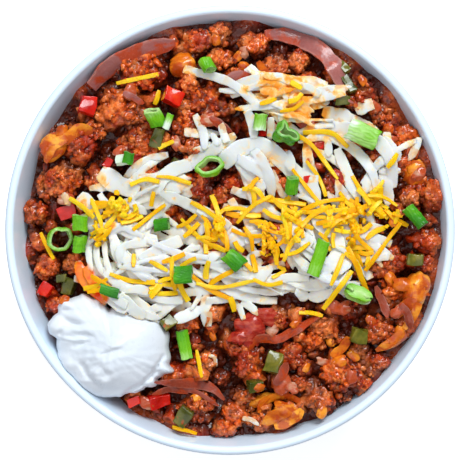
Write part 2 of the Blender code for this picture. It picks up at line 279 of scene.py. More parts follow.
def makeWetFlow():
    inputs = {"Scale": "Float", "Streak": "Float"}
    group, given, result = newGroup("wetFlow", inputs, {"Flow": "Float", "Height": "Float"})
    drawn = addNode(group, "ShaderNodeCombineXYZ", {"X": 1.0, "Y": given["Streak"], "Z": 1.0}).outputs[0]
    placed = {0: place(group), 1: drawn}
    stretched = addNode(group, "ShaderNodeVectorMath", placed, operation="MULTIPLY").outputs[0]
    values = {"Vector": stretched, "Scale": given["Scale"], "Detail": 3.0, "Roughness": 0.6}
    height = addNode(group, "ShaderNodeTexNoise", values).outputs["Fac"]
    flow = calculate(group, "ADD", height, between(group, eachBit(group), 0, 1, -0.1, 0.1))
    group.links.new(flow, result["Flow"])
    group.links.new(height, result["Height"])
    return group


def makeSauceSplash():
    inputs = {"Color": "Color", "Scale": "Float", "Threshold": "Float"}
    inputs |= {"Dry Coat": "Float", "Wet Coat": "Float"}
    group, given, result = newGroup("sauceSplash", inputs, {"Color": "Color", "Coat": "Float"})
    splash = spots(group, given["Scale"], 3, 0.6, 0.4)
    full = calculate(group, "ADD", given["Threshold"], 0.09)
    covered = between(group, splash, given["Threshold"], full, 0, 0.85)
    coat = between(group, splash, 0.33, 0.55, given["Dry Coat"], given["Wet Coat"])
    group.links.new(blendColours(group, covered, given["Color"], (0.50, 0.052, 0.004)), result["Color"])
    group.links.new(coat, result["Coat"])
    return group


fineGrain = makeFineGrain()
wetFlow = makeWetFlow()
sauceSplash = makeSauceSplash()


# the bowl, in metres

bowlShape = {
    "rimRadius": 0.0800,
    "height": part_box("bowl")[1][2],
    "wall": 0.0032,
    "flare": math.radians(14),
    "floor": 0.0100,
    "belly": 0.0400,
    "footRadius": 0.0385,
    "footWidth": 0.0035,
    "footEase": 0.0007,
    "turns": 160,
    "insideSteps": 18,
    "rimSteps": 14,
    "outsideSteps": 16,
    "footSteps": 4,
}


def bellyCentre():
    s = bowlShape
    middle = s["belly"] + s["wall"] / 2
    drop = s["height"] - s["wall"] / 2 - s["floor"] - s["belly"] + middle * math.sin(s["flare"])
    return s["rimRadius"] - s["wall"] / 2 - drop * math.tan(s["flare"]) - middle * math.cos(s["flare"])


def wallRadius(height):
    s = bowlShape
    start = s["floor"] + s["belly"] - s["belly"] * math.sin(s["flare"])
    return bellyCentre() + s["belly"] * math.cos(s["flare"]) + (height - start) * math.tan(s["flare"])


def bowlProfile():
    s = bowlShape
    centre = bellyCentre()
    level = s["floor"] + s["belly"]
    outer = s["belly"] + s["wall"]
    half = s["wall"] / 2
    footAngle = -math.acos((s["footRadius"] - centre) / outer)
    inside = s["footRadius"] - s["footWidth"]
    ease = s["footEase"]
    points = [(0, s["floor"])]
    for a in evenly(-math.pi / 2, -s["flare"], s["insideSteps"]):
        points.append((centre + s["belly"] * math.cos(a), level + s["belly"] * math.sin(a)))
    for share in (0.25, 0.5, 0.75):
        height = level - s["belly"] * math.sin(s["flare"])
        height += share * (s["height"] - half - height)
        points.append((wallRadius(height), height))
    for a in evenly(math.pi - s["flare"], -s["flare"], s["rimSteps"]):
        radius = s["rimRadius"] - half + half * math.cos(a)
        points.append((radius, s["height"] - half + half * math.sin(a)))
    for a in evenly(-s["flare"], footAngle, s["outsideSteps"]):
        points.append((centre + outer * math.cos(a), level + outer * math.sin(a)))
    for a in evenly(0, -math.pi / 2, s["footSteps"]):
        points.append((s["footRadius"] - ease + ease * math.cos(a), ease + ease * math.sin(a)))
    for a in evenly(-math.pi / 2, -math.pi, s["footSteps"]):
        points.append((inside + ease + ease * math.cos(a), ease + ease * math.sin(a)))
    points.append((inside, s["floor"] - s["wall"]))
    points.append((0, s["floor"] - s["wall"]))
    return points


def glazeMaterial():
    made = newMaterial("whiteGlaze")
    pooled = spots(made, 14, 3)
    grain = put(made, fineGrain, Scale=700, Detail=2, Smoothest=0.10, Roughest=0.20)
    tint = ramp(made, pooled, [(0.3, (0.75, 0.865, 0.985)), (0.7, (0.775, 0.885, 0.995))])
    wire(made, Base_Color=tint, Roughness=grain["Roughness"])
    wire(made, Normal=bumped(made, pooled, 0.05, 0.002), Coat_Weight=0.5, Coat_Roughness=0.06, IOR=1.5)
    return made


def makeBowl():
    mesh = bpy.data.meshes.new("glazedBowl")
    points = bowlProfile()
    edges = [(i, i + 1) for i in range(len(points) - 1)]
    mesh.from_pydata([(radius, 0, height) for radius, height in points], edges, [])
    bowl = linked(bpy.data.objects.new("glazedBowl", mesh))
    turn = bowl.modifiers.new("turn", "SCREW")
    turn.steps = turn.render_steps = bowlShape["turns"]
    turn.use_merge_vertices = True
    turn.merge_threshold = 0.00005
    applyAll(bowl)
    smoothAll(bowl, 40)
    finishPiece(bowl, glazeMaterial(), "white_glaze", "bowl")


# the chili

chiliTree = treeOf(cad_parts["chili"])
chiliReach = 0.0715
aboveChili = 0.1


def chiliTop(x, y):
    reach = math.hypot(x, y)
    if reach > chiliReach:
        x, y = x * chiliReach / reach, y * chiliReach / reach
    return chiliTree.ray_cast(Vector((x, y, aboveChili)), -up)[0].z


def makeCookedMince():
    outputs = {"Color": "Color", "Coat": "Float", "Roughness": "Float", "Normal": "Vector"}
    made, given, result = newGroup("cookedMince", {"Dark": "Float"}, outputs)
    lumpTone = between(made, eachBit(made), 0, 1, -0.22, 0.22)
    broad = calculate(made, "ADD", spots(made, 70), lumpTone)
    grain = spots(made, 420, 3, 0.6)
    fine = spots(made, 1500, 2, 0.6)
    drier = between(made, broad, 0.2, 0.8, 0.06, -0.06)
    sauce = calculate(made, "ADD", spots(made, 75, 3, 0.6, 0.5), drier)
    grains = {"Vector": place(made), "Scale": 760.0}
    cells = addNode(made, "ShaderNodeTexVoronoi", grains).outputs["Distance"]
    point = addNode(made, "ShaderNodeNewGeometry").outputs["Pointiness"]
    meatStops = [(0.26, (0.32, 0.022, 0.002)), (0.5, (0.62, 0.076, 0.008)), (0.74, (0.86, 0.21, 0.042))]
    meat = ramp(made, broad, meatStops)
    orange = ramp(made, grain, [(0.3, (0.70, 0.028, 0.001)), (0.7, (1.0, 0.18, 0.003))])
    colour = blendColours(made, between(made, sauce, 0.48, 0.58, 0, 0.9), meat, orange)
    red = between(made, spots(made, 85, 3, 0.6, 0.4), 0.55, 0.61, 0, 0.9)
    # painted highlight: colour lightened on the raised grains that the grain bump lifts
    light = blendColours(made, between(made, grain, 0.52, 0.66, 0, 0.55), colour, (0.98, 0.32, 0.085))
    # painted shade: darker in the grooves along the cell borders, which the pitted bump sinks
    shade = blendColours(made, between(made, cells, 0.5, 0.9, 0, 0.45), light, (0.12, 0.010, 0.003))
    sauced = blendColours(made, red, shade, (0.47, 0.022, 0.001))
    # painted shade: darker in the low spots of the grain
    deep = blendColours(made, between(made, grain, 0.46, 0.34, 0, 0.8), sauced, (0.07, 0.008, 0.003))
    # painted shade: darker where the surface is concave
    pitShade = blendColours(made, between(made, point, 0.49, 0.43, 0, 0.85), deep, (0.035, 0.004, 0.002))
    hollow = marked(made, "hollow")
    # painted light: the crests, away from the hollows, are lightened
    high = blendColours(made, between(made, hollow, 0.3, 0, 0, 0.12), pitShade, (0.95, 0.26, 0.05))
    # painted shade in the hollows between lumps, partly also the darker sauce that lies there
    low = blendColours(made, between(made, hollow, 0.15, 0.85, 0, 0.94), high, (0.066, 0.0065, 0.0016))
    middle = addNode(made, "ShaderNodeMapping", {"Vector": place(made), "Scale": (1, 1, 0)}).outputs[0]
    reach = addNode(made, "ShaderNodeVectorMath", {0: middle}, operation="LENGTH").outputs["Value"]
    patchy = between(made, spots(made, 55), 0.52, 0.62)
    rim = calculate(made, "MULTIPLY", between(made, reach, 0.0715, 0.0735, 0, 0.85), patchy)
    oiled = blendColours(made, rim, low, (0.50, 0.070, 0.004))
    tone = blendColours(made, given["Dark"], oiled, (0.040, 0.005, 0.002))
    pitted = bumped(made, calculate(made, "SUBTRACT", 1.0, cells), 0.7, 0.0006)
    normal = bumped(made, fine, 0.3, 0.0004, bumped(made, grain, 0.5, 0.0012, pitted))
    drops = spots(made, 300)
    dried = between(made, hollow, 0.1, 0.9, 1, 0.65)
    made.links.new(tone, result["Color"])
    coat = calculate(made, "MULTIPLY", between(made, drops, 0.37, 0.46, 0, 1), dried)
    made.links.new(coat, result["Coat"])
    made.links.new(between(made, fine, 0.35, 0.65, 0.22, 0.45), result["Roughness"])
    made.links.new(normal, result["Normal"])
    return made


cookedMince = makeCookedMince()


def minceMaterial(name, dark):
    made = newMaterial(name)
    mince = put(made, cookedMince, Dark=dark)
    wire(made, Base_Color=mince["Color"], Roughness=mince["Roughness"], Normal=mince["Normal"])
    wire(made, Coat_Weight=mince["Coat"], Coat_Roughness=0.08, Specular_IOR_Level=0.12)
    wire(made, Coat_Normal=bumped(made, spots(made, 300), 0.7, 0.0015))
    return made


def holdInside(obj, gap=0.0003):
    for vertex in obj.data.vertices:
        limit = wallRadius(vertex.co.z) - gap
        if vertex.co.xy.length > limit:
            share = limit / vertex.co.xy.length
            vertex.co.x *= share
            vertex.co.y *= share


# in metres: how far it lies below the chili's level, its lumps and grit, and how it closes underneath
coreShape = {
    "cells": 210,
    "half": 0.0785,
    "sunkMiddle": 0.0054,
    "sunkEdge": 0.0031,
    "lump": 0.0046,
    "rise": 0.0022,
    "lapped": 0.0012,
    "deep": 0.010,
    "drawnIn": 0.88,
    "edgeFrom": 0.062,
    "edgeWidth": 0.010,
    "lapping": 0.0036,
    "lapSize": 0.012,
    "grit": 0.0012,
    "gritRise": 0.0004,
    "floor": 0.058,
    "spare": 0.0014,
}


def coreHeight(x, y):
    s = coreShape
    spot = Vector((x, y, 0.3))
    edge = min(1, max(0, (math.hypot(x, y) - s["edgeFrom"]) / s["edgeWidth"]))
    lapping = s["lapping"] * noise.noise(Vector((x, y, 0.1)) / s["lapSize"])
    sunk = s["sunkMiddle"] + (s["sunkEdge"] + lapping - s["sunkMiddle"]) * edge
    nearest = noise.voronoi(spot / s["lump"])[0][0]
    rough = s["gritRise"] * noise.noise(spot / s["grit"])
    return chiliTop(x, y) - sunk + s["rise"] * (0.5 - nearest) * (1 - 0.7 * edge) + rough


def makeCore():
    s = coreShape
    cells = {"x_subdivisions": s["cells"], "y_subdivisions": s["cells"]}
    bpy.ops.mesh.primitive_grid_add(size=2 * s["half"], **cells)
    core = bpy.context.object
    core.name = core.data.name = "chiliCore"
    editAll("DESELECT")
    leaveEdit()
    for vertex in core.data.vertices:
        vertex.select = vertex.co.xy.length > wallRadius(s["floor"]) + s["spare"]
    enterEdit()
    bpy.ops.mesh.delete(type="VERT")
    leaveEdit()
    for vertex in core.data.vertices:
        vertex.co.z = coreHeight(vertex.co.x, vertex.co.y)
    holdInside(core, -s["lapped"])
    pick(core)
    editAll("DESELECT")
    bpy.ops.mesh.select_non_manifold()
    bpy.ops.mesh.extrude_region_move(TRANSFORM_OT_translate={"value": (0, 0, -s["deep"])})
    drawnIn = (s["drawnIn"], s["drawnIn"], 1)
    bpy.ops.transform.resize(value=drawnIn, center_override=(0, 0, 0))
    bpy.ops.mesh.edge_face_add()
    bpy.ops.mesh.select_all(action="SELECT")
    bpy.ops.mesh.normals_make_consistent(inside=False)
    leaveEdit()
    smoothAll(core)
    finishPiece(core, minceMaterial("sauceBed", 0.25), "chili", "chili")
    return core


# in millimetres, apart from shares: each entry of swells is a share and how fine, of lumps a size and a rise
clumpShape = {
    "kinds": 6,
    "large": 11.5,
    "reach": Vector((9.2, 7.4, 5.4)),
    "swells": ((0.26, 1.3), (0.14, 2.9)),
    "warp": 1.3,
    "warpSize": 2.4,
    "stretch": (0.7, 1.1, 1.1),
    "rough": 0.55,
    "roughSize": 1.5,
    "lumps": ((5.0, 1.4), (2.7, 1.0), (1.3, 0.40)),
    "cut": -1.6,
    "length": 18,
    "shallowest": 0.6,
    "above": 0.8,
    "sunk": 5.4,
    "lifted": (-0.6, 0.9),
    "triangles": {True: 4600, False: 1700},
}


def cragged(spot):
    s = clumpShape
    warped = spot + s["warp"] * noise.noise_vector(spot / s["warpSize"])
    drawn = Vector(part * share for part, share in zip(warped, s["stretch"]))
    height = s["rough"] * noise.fractal(spot / s["roughSize"], 1.0, 2.0, 3)
    for size, rise in s["lumps"]:
        nearest, second = noise.voronoi(drawn / size)[0][:2]
        dome = 0.6 - min(1, nearest * 1.2) ** 2
        height += rise * (0.6 * dome + 0.5 * min(1, 3 * (second - nearest)) - 0.25)
    return height


def makeClump(index, triangles):
    s = clumpShape
    bpy.ops.mesh.primitive_ico_sphere_add(subdivisions=5, radius=1)
    clump = bpy.context.object
    clump.name = clump.data.name = f"clump{index}"
    shift = Vector((index * 31, 7, 3))
    for vertex in clump.data.vertices:
        facing = vertex.co.normalized()
        swell = 1
        for share, fineness in s["swells"]:
            swell += share * noise.noise(facing * fineness + shift)
        spot = Vector(f * r for f, r in zip(facing, s["reach"])) * swell
        vertex.co = spot + facing * cragged(spot + shift)
    pick(clump)
    editAll("SELECT")
    plane = {"plane_co": (0, 0, s["cut"]), "plane_no": (0, 0, 1)}
    bpy.ops.mesh.bisect(**plane, use_fill=True, clear_inner=True)
    bpy.ops.mesh.select_all(action="SELECT")
    bpy.ops.mesh.quads_convert_to_tris()
    bpy.ops.mesh.normals_make_consistent(inside=False)
    leaveEdit()
    thin = clump.modifiers.new("thin", "DECIMATE")
    thin.ratio = min(1, triangles / len(clump.data.polygons))
    applyAll(clump)
    clump.scale = (mm, mm, mm)
    settle(clump)
    smoothAll(clump)
    return clump


# x, y, length and heading of the large clumps, in millimetres and degrees
clumpPlaces = (
    (-38, 43.5, 20, -5), (-32, 58.5, 20, 15), (-12, 67, 11, 20), (-3.5, 70, 10, 60), (-3, 61, 10, 0),
    (-15, 52, 8, 30), (-9, 45, 21, 10), (-16, 36, 13, 80), (-13.5, 30, 9, 60), (-53.5, 31.5, 15, 70),
    (-48, 36, 8, 0), (-32, 32, 14, 20), (-29, 28, 13, 30), (-61, 18, 17, 30), (-70, 6.5, 9, 60),
    (-48, 17.5, 8, 0), (-11, 15, 11, 60), (-43, 24, 8, 0), (56, -11.5, 12, 10), (70.5, -4.5, 9, 60),
    (59, -23, 13, 30), (53.8, -35.8, 12, 10), (17, -31.5, 9, 50), (33.5, -34, 11, 0),
    (29.5, -39.5, 9, 20), (6.5, -47, 13, 80), (38.7, -38.7, 7, 0), (39.7, -51.6, 17, 10),
    (31.5, -60, 13, 20), (25, -55, 8, 0), (53.3, -47, 8, 0), (5.4, -60.5, 10, 60), (1.6, -66, 10, 0),
    (41.4, -59, 6, 0), (2.5, -41.5, 7, 0), (40.5, -29, 12, 0), (-2, -71, 9, 0), (-12, -63, 12, 20),
    (-9, -48, 9, 40), (-4, -53, 8, 0), (-20, -52, 9, 0), (-15, -33, 9, 40), (10, 66, 9, 70),
    (16, 57, 12, 40), (24, 60, 9, 30), (12, 50, 12, 20), (27, 50, 12, 45), (45.5, 48.5, 14, -35),
    (56, 40, 11, -50), (61, 32, 13, 20), (53, 25.5, 9, 0), (72.5, 12, 11, 70), (63.5, 10.5, 11, 60),
    (69, -12, 8, 0), (20, 41, 9, 0), (2, 55, 9, 0), (-66, -13, 9, 60), (-62, -27, 8, 0),
    (-56, -12, 8, 20), (37, 16, 9, 30), (50.5, 16, 9, 10), (-4, 12, 8, 0), (14, 24, 14, 10),
    (6, 20, 9, 60), (-28, 19, 8, 0), (64, -32, 9, 40), (47, -55, 9, 30), (12, -68, 9, 10),
    (22, -45, 10, 20), (46, -43, 9, 40), (1, 16.5, 9, 10), (9, 15, 9, 60), (18, 16.5, 9, 0),
    (3, 24, 8, 0), (11, 22, 8, 30), (-8, 20, 8, 0),
)


def makeClumps():
    s = clumpShape
    masters = {}
    for isLarge, triangles in s["triangles"].items():
        masters[isLarge] = [makeClump(i, triangles) for i in range(s["kinds"])]
    rng = random.Random(5)
    copies = []
    for x, y, length, heading in clumpPlaces:
        master = rng.choice(masters[length > s["large"]])
        size = length / s["length"]
        x, y = x * mm, y * mm
        deep = max(size, s["shallowest"])
        z = chiliTop(x, y) + (s["above"] - s["sunk"] * deep + rng.uniform(*s["lifted"])) * mm
        lean = (rng.uniform(-0.2, 0.2), rng.uniform(-0.2, 0.2))
        turn = Euler((*lean, math.radians(heading + rng.choice((0, 180)))))
        scale = Vector((size, size * rng.uniform(0.95, 1.2), deep))
        copies.append(copyOf(master, Matrix.LocRotScale(Vector((x, y, z)), turn, scale)))
    clumps = joinUp(copies, "minceClumps")
    discard(*masters[True], *masters[False])
    holdInside(clumps)
    finishPiece(clumps, minceMaterial("mince", 0.0), "chili")
    return clumps


# of chunks and crumbs: how fine, how many, the smallest and the largest
crumbShape = {
    "kinds": 8,
    "chunks": (3, 420, 0.0019, 0.0036),
    "crumbs": (2, 2300, 0.0004, 0.0013),
    "faces": {3: 72, 2: 40},
    "spread": 0.074,
    "reach": 0.0742,
    "below": 0.0016,
    "raised": 0.1,
    "swell": 0.62,
    "knob": 0.40,
}


def makeCrumb(index, fineness):
    bpy.ops.mesh.primitive_ico_sphere_add(subdivisions=fineness, radius=1)
    crumb = bpy.context.object
    for vertex in crumb.data.vertices:
        spot = vertex.co.normalized() * 3
        swell = 1 + crumbShape["swell"] * noise.noise(vertex.co * 1.5 + Vector((index * 9, 0, 0)))
        nearest = noise.voronoi(spot / 1.5 + Vector((index * 5, 0, 0)))[0][0]
        vertex.co *= swell + crumbShape["knob"] * (0.5 - min(1, nearest) ** 2)
    thin = crumb.modifiers.new("thin", "DECIMATE")
    thin.ratio = crumbShape["faces"][fineness] / len(crumb.data.polygons)
    applyAll(crumb)
    smoothAll(crumb)
    return crumb


def makeCrumbs(*under):
    s = crumbShape
    rng = random.Random(11)
    tree = treeOf(*under)
    copies = []
    for fineness, count, low, high in (s["chunks"], s["crumbs"]):
        masters = [makeCrumb(index, fineness) for index in range(s["kinds"])]
        made = 0
        while made < count:
            x, y = (rng.uniform(-s["spread"], s["spread"]) for _ in range(2))
            size = low + (high - low) * rng.random() ** 1.7
            if math.hypot(x, y) > s["reach"] - size:
                continue
            z = tree.ray_cast(Vector((x, y, overhead)), -up)[0].z
            if fineness == 3 and z > chiliTop(x, y) - s["below"]:
                continue
            turn = Euler([rng.uniform(0, math.tau) for _ in range(3)])
            scale = Vector((size * rng.uniform(0.9, 2.0), size, size * rng.uniform(0.6, 1)))
            spot = Vector((x, y, z + size * s["raised"]))
            copies.append(copyOf(rng.choice(masters), Matrix.LocRotScale(spot, turn, scale)))
            made += 1
        discard(*masters)
    crumbs = joinUp(copies, "minceCrumbs")
    holdInside(crumbs)
    finishPiece(crumbs, minceMaterial("minceFine", 0.05), "chili")
    return crumbs


# what the toppings lie on

ground = {"cell": 0.0005, "half": 0.0800, "lowest": 0.03, "shallow": 0.0008, "deep": 0.0036}
groundSteps = round(2 * ground["half"] / ground["cell"]) + 1
groundLevel = np.full((groundSteps, groundSteps), ground["lowest"])


def cellOf(x, y):
    column = round((x + ground["half"]) / ground["cell"])
    row = round((y + ground["half"]) / ground["cell"])
    return min(max(row, 0), groundSteps - 1), min(max(column, 0), groundSteps - 1)


def groundAt(x, y):
    return groundLevel[cellOf(x, y)]


def readGround(*objs):
    tree = treeOf(*objs)
    for row in range(groundSteps):
        y = row * ground["cell"] - ground["half"]
        for column in range(groundSteps):
            x = column * ground["cell"] - ground["half"]
            hit = tree.ray_cast(Vector((x, y, overhead)), -up)[0]
            if hit:
                groundLevel[row, column] = max(groundLevel[row, column], hit.z)


def crestLevel(reach=7):
    crest = groundLevel.copy()
    shifts = range(-reach, reach + 1)
    for axis in (0, 1):
        crest = np.max([np.roll(crest, shift, axis) for shift in shifts], axis=0)
    for axis in (0, 1):
        crest = np.mean([np.roll(crest, shift, axis) for shift in shifts], axis=0)
    return crest


def markHollows(*objs):
    crest = crestLevel()

    def howDeep(vertex):
        below = crest[cellOf(vertex.co.x, vertex.co.y)] - vertex.co.z
        return min(1, max(0, (below - ground["shallow"]) / ground["deep"]))

    for obj in objs:
        markPoints(obj, "hollow", howDeep)


def stamp(x, y, radius, top):
    row, column = cellOf(x, y)
    reach = math.ceil(radius / ground["cell"])
    for i in range(max(row - reach, 0), min(row + reach + 1, groundSteps)):
        for j in range(max(column - reach, 0), min(column + reach + 1, groundSteps)):
            if math.hypot(i - row, j - column) * ground["cell"] <= radius:
                groundLevel[i, j] = max(groundLevel[i, j], top)


def restOnGround(obj, sink=0.0):
    lift = max(groundAt(v.co.x, v.co.y) - v.co.z for v in obj.data.vertices) - sink
    for vertex in obj.data.vertices:
        vertex.co.z += lift
    for vertex in obj.data.vertices:
        row, column = cellOf(vertex.co.x, vertex.co.y)
        groundLevel[row, column] = max(groundLevel[row, column], vertex.co.z)


# shreds and strips, which lie across what is under them

stripShape = {"tapered": 0.24, "waver": 0.22, "waverSize": 0.004, "footprint": 0.42}


def smoothRoute(points, spacing):
    points = [Vector(p) for p in points]
    ends = [2 * points[0] - points[1], *points, 2 * points[-1] - points[-2]]
    made = []
    for before, start, end, after in zip(ends, ends[1:], ends[2:], ends[3:]):
        count = max(2, math.ceil((end - start).length / spacing))
        for t in evenly(0, 1, count)[:-1]:
            bend = 2 * before - 5 * start + 4 * end - after
            twist = after - before + 3 * (start - end)
            made.append(start + 0.5 * t * (end - before + t * (bend + t * twist)))
    return made + [points[-1]]


def layRoute(route, width, thickness, slope, sink, least=0.0):
    heights = []
    for i, spot in enumerate(route):
        ahead = (route[min(i + 1, len(route) - 1)] - route[max(i - 1, 0)]).normalized()
        side = leftOf(ahead) * width / 2
        under = [groundAt(*(spot + side * share)) for share in (-0.8, -0.4, 0, 0.4, 0.8)]
        heights.append(max(0.5 * max(under) + 0.5 * sum(under) / len(under) - sink, least))
    held = list(heights)
    for i, spot in enumerate(route):
        for j, other in enumerate(route):
            held[i] = max(held[i], heights[j] - slope * (spot - other).length)
    for _ in range(2):
        inner = [(a + 2 * b + c) / 4 for a, b, c in zip(held, held[1:], held[2:])]
        held = [held[0], *inner, held[-1]]
    for spot, level in zip(route, held):
        stamp(*spot, width * stripShape["footprint"], level + thickness)
    return [Vector((*spot, level + thickness / 2)) for spot, level in zip(route, held)]


def profileOf(name, points):
    curve = bpy.data.curves.new(name, "CURVE")
    curve.dimensions = "2D"
    spline = curve.splines.new("POLY")
    spline.points.add(len(points) - 1)
    for point, (x, y) in zip(spline.points, points):
        point.co = (x, y, 0, 1)
    spline.use_cyclic_u = True
    return linked(bpy.data.objects.new(name, curve))


def roundedProfile(name, width, thickness, corner):
    points = []
    for cornerX, cornerY, start in ((1, 1, 0), (-1, 1, 90), (-1, -1, 180), (1, -1, 270)):
        for turn in (0, 45, 90):
            a = math.radians(start + turn)
            x = cornerX * (width / 2 - corner) + corner * math.cos(a)
            points.append((x, cornerY * (thickness / 2 - corner) + corner * math.sin(a)))
    return profileOf(name, points)


def cuppedProfile(name, flatness):
    shares = evenly(1, -1, 6)
    upper = [(0.5 * x, flatness * (0.5 - 0.12 * x * x)) for x in shares]
    lower = [(0.5 * x, flatness * (-0.5 + 0.45 * x * x)) for x in reversed(shares)]
    return profileOf(name, [*upper, *lower])


def makeStrips(name, strips, profile):
    s = stripShape
    curve = bpy.data.curves.new(name, "CURVE")
    curve.dimensions = "3D"
    curve.twist_mode = "Z_UP"
    curve.bevel_mode = "OBJECT"
    curve.bevel_object = profile
    curve.use_fill_caps = True
    for path, width, tilts, ends in strips:
        spline = curve.splines.new("POLY")
        spline.points.add(len(path) - 1)
        last = len(path) - 1
        for i, (point, spot) in enumerate(zip(spline.points, path)):
            share = i / last
            near = min(1, min(share, 1 - share) / s["tapered"]) ** 0.7
            blunt = ends[0] if share < 0.5 else ends[1]
            point.co = (*spot, 1)
            wave = 1 + s["waver"] * noise.noise(Vector((spot.x, spot.y, width)) / s["waverSize"])
            point.radius = width * (blunt + (1 - blunt) * near) * wave
            point.tilt = tilts[0] + (tilts[1] - tilts[0]) * share
    pick(linked(bpy.data.objects.new(name, curve)))
    bpy.ops.object.convert(target="MESH")
    made = bpy.context.object
    ring = [point.co.x + 0.5 for point in profile.data.splines[0].points]
    markPoints(made, "across", lambda vertex: ring[vertex.index % len(ring)])
    pick(made)
    editAll("SELECT")
    bpy.ops.mesh.remove_doubles(threshold=0.00001)
    bpy.ops.mesh.normals_make_consistent(inside=False)
    leaveEdit()
    return made


def roughen(obj, size, strength, name):
    rough = obj.modifiers.new("rough", "DISPLACE")
    rough.texture = bpy.data.textures.new(name, "CLOUDS")
    rough.texture.noise_scale = size
    rough.strength = strength
    applyAll(obj)


# the pale cheese

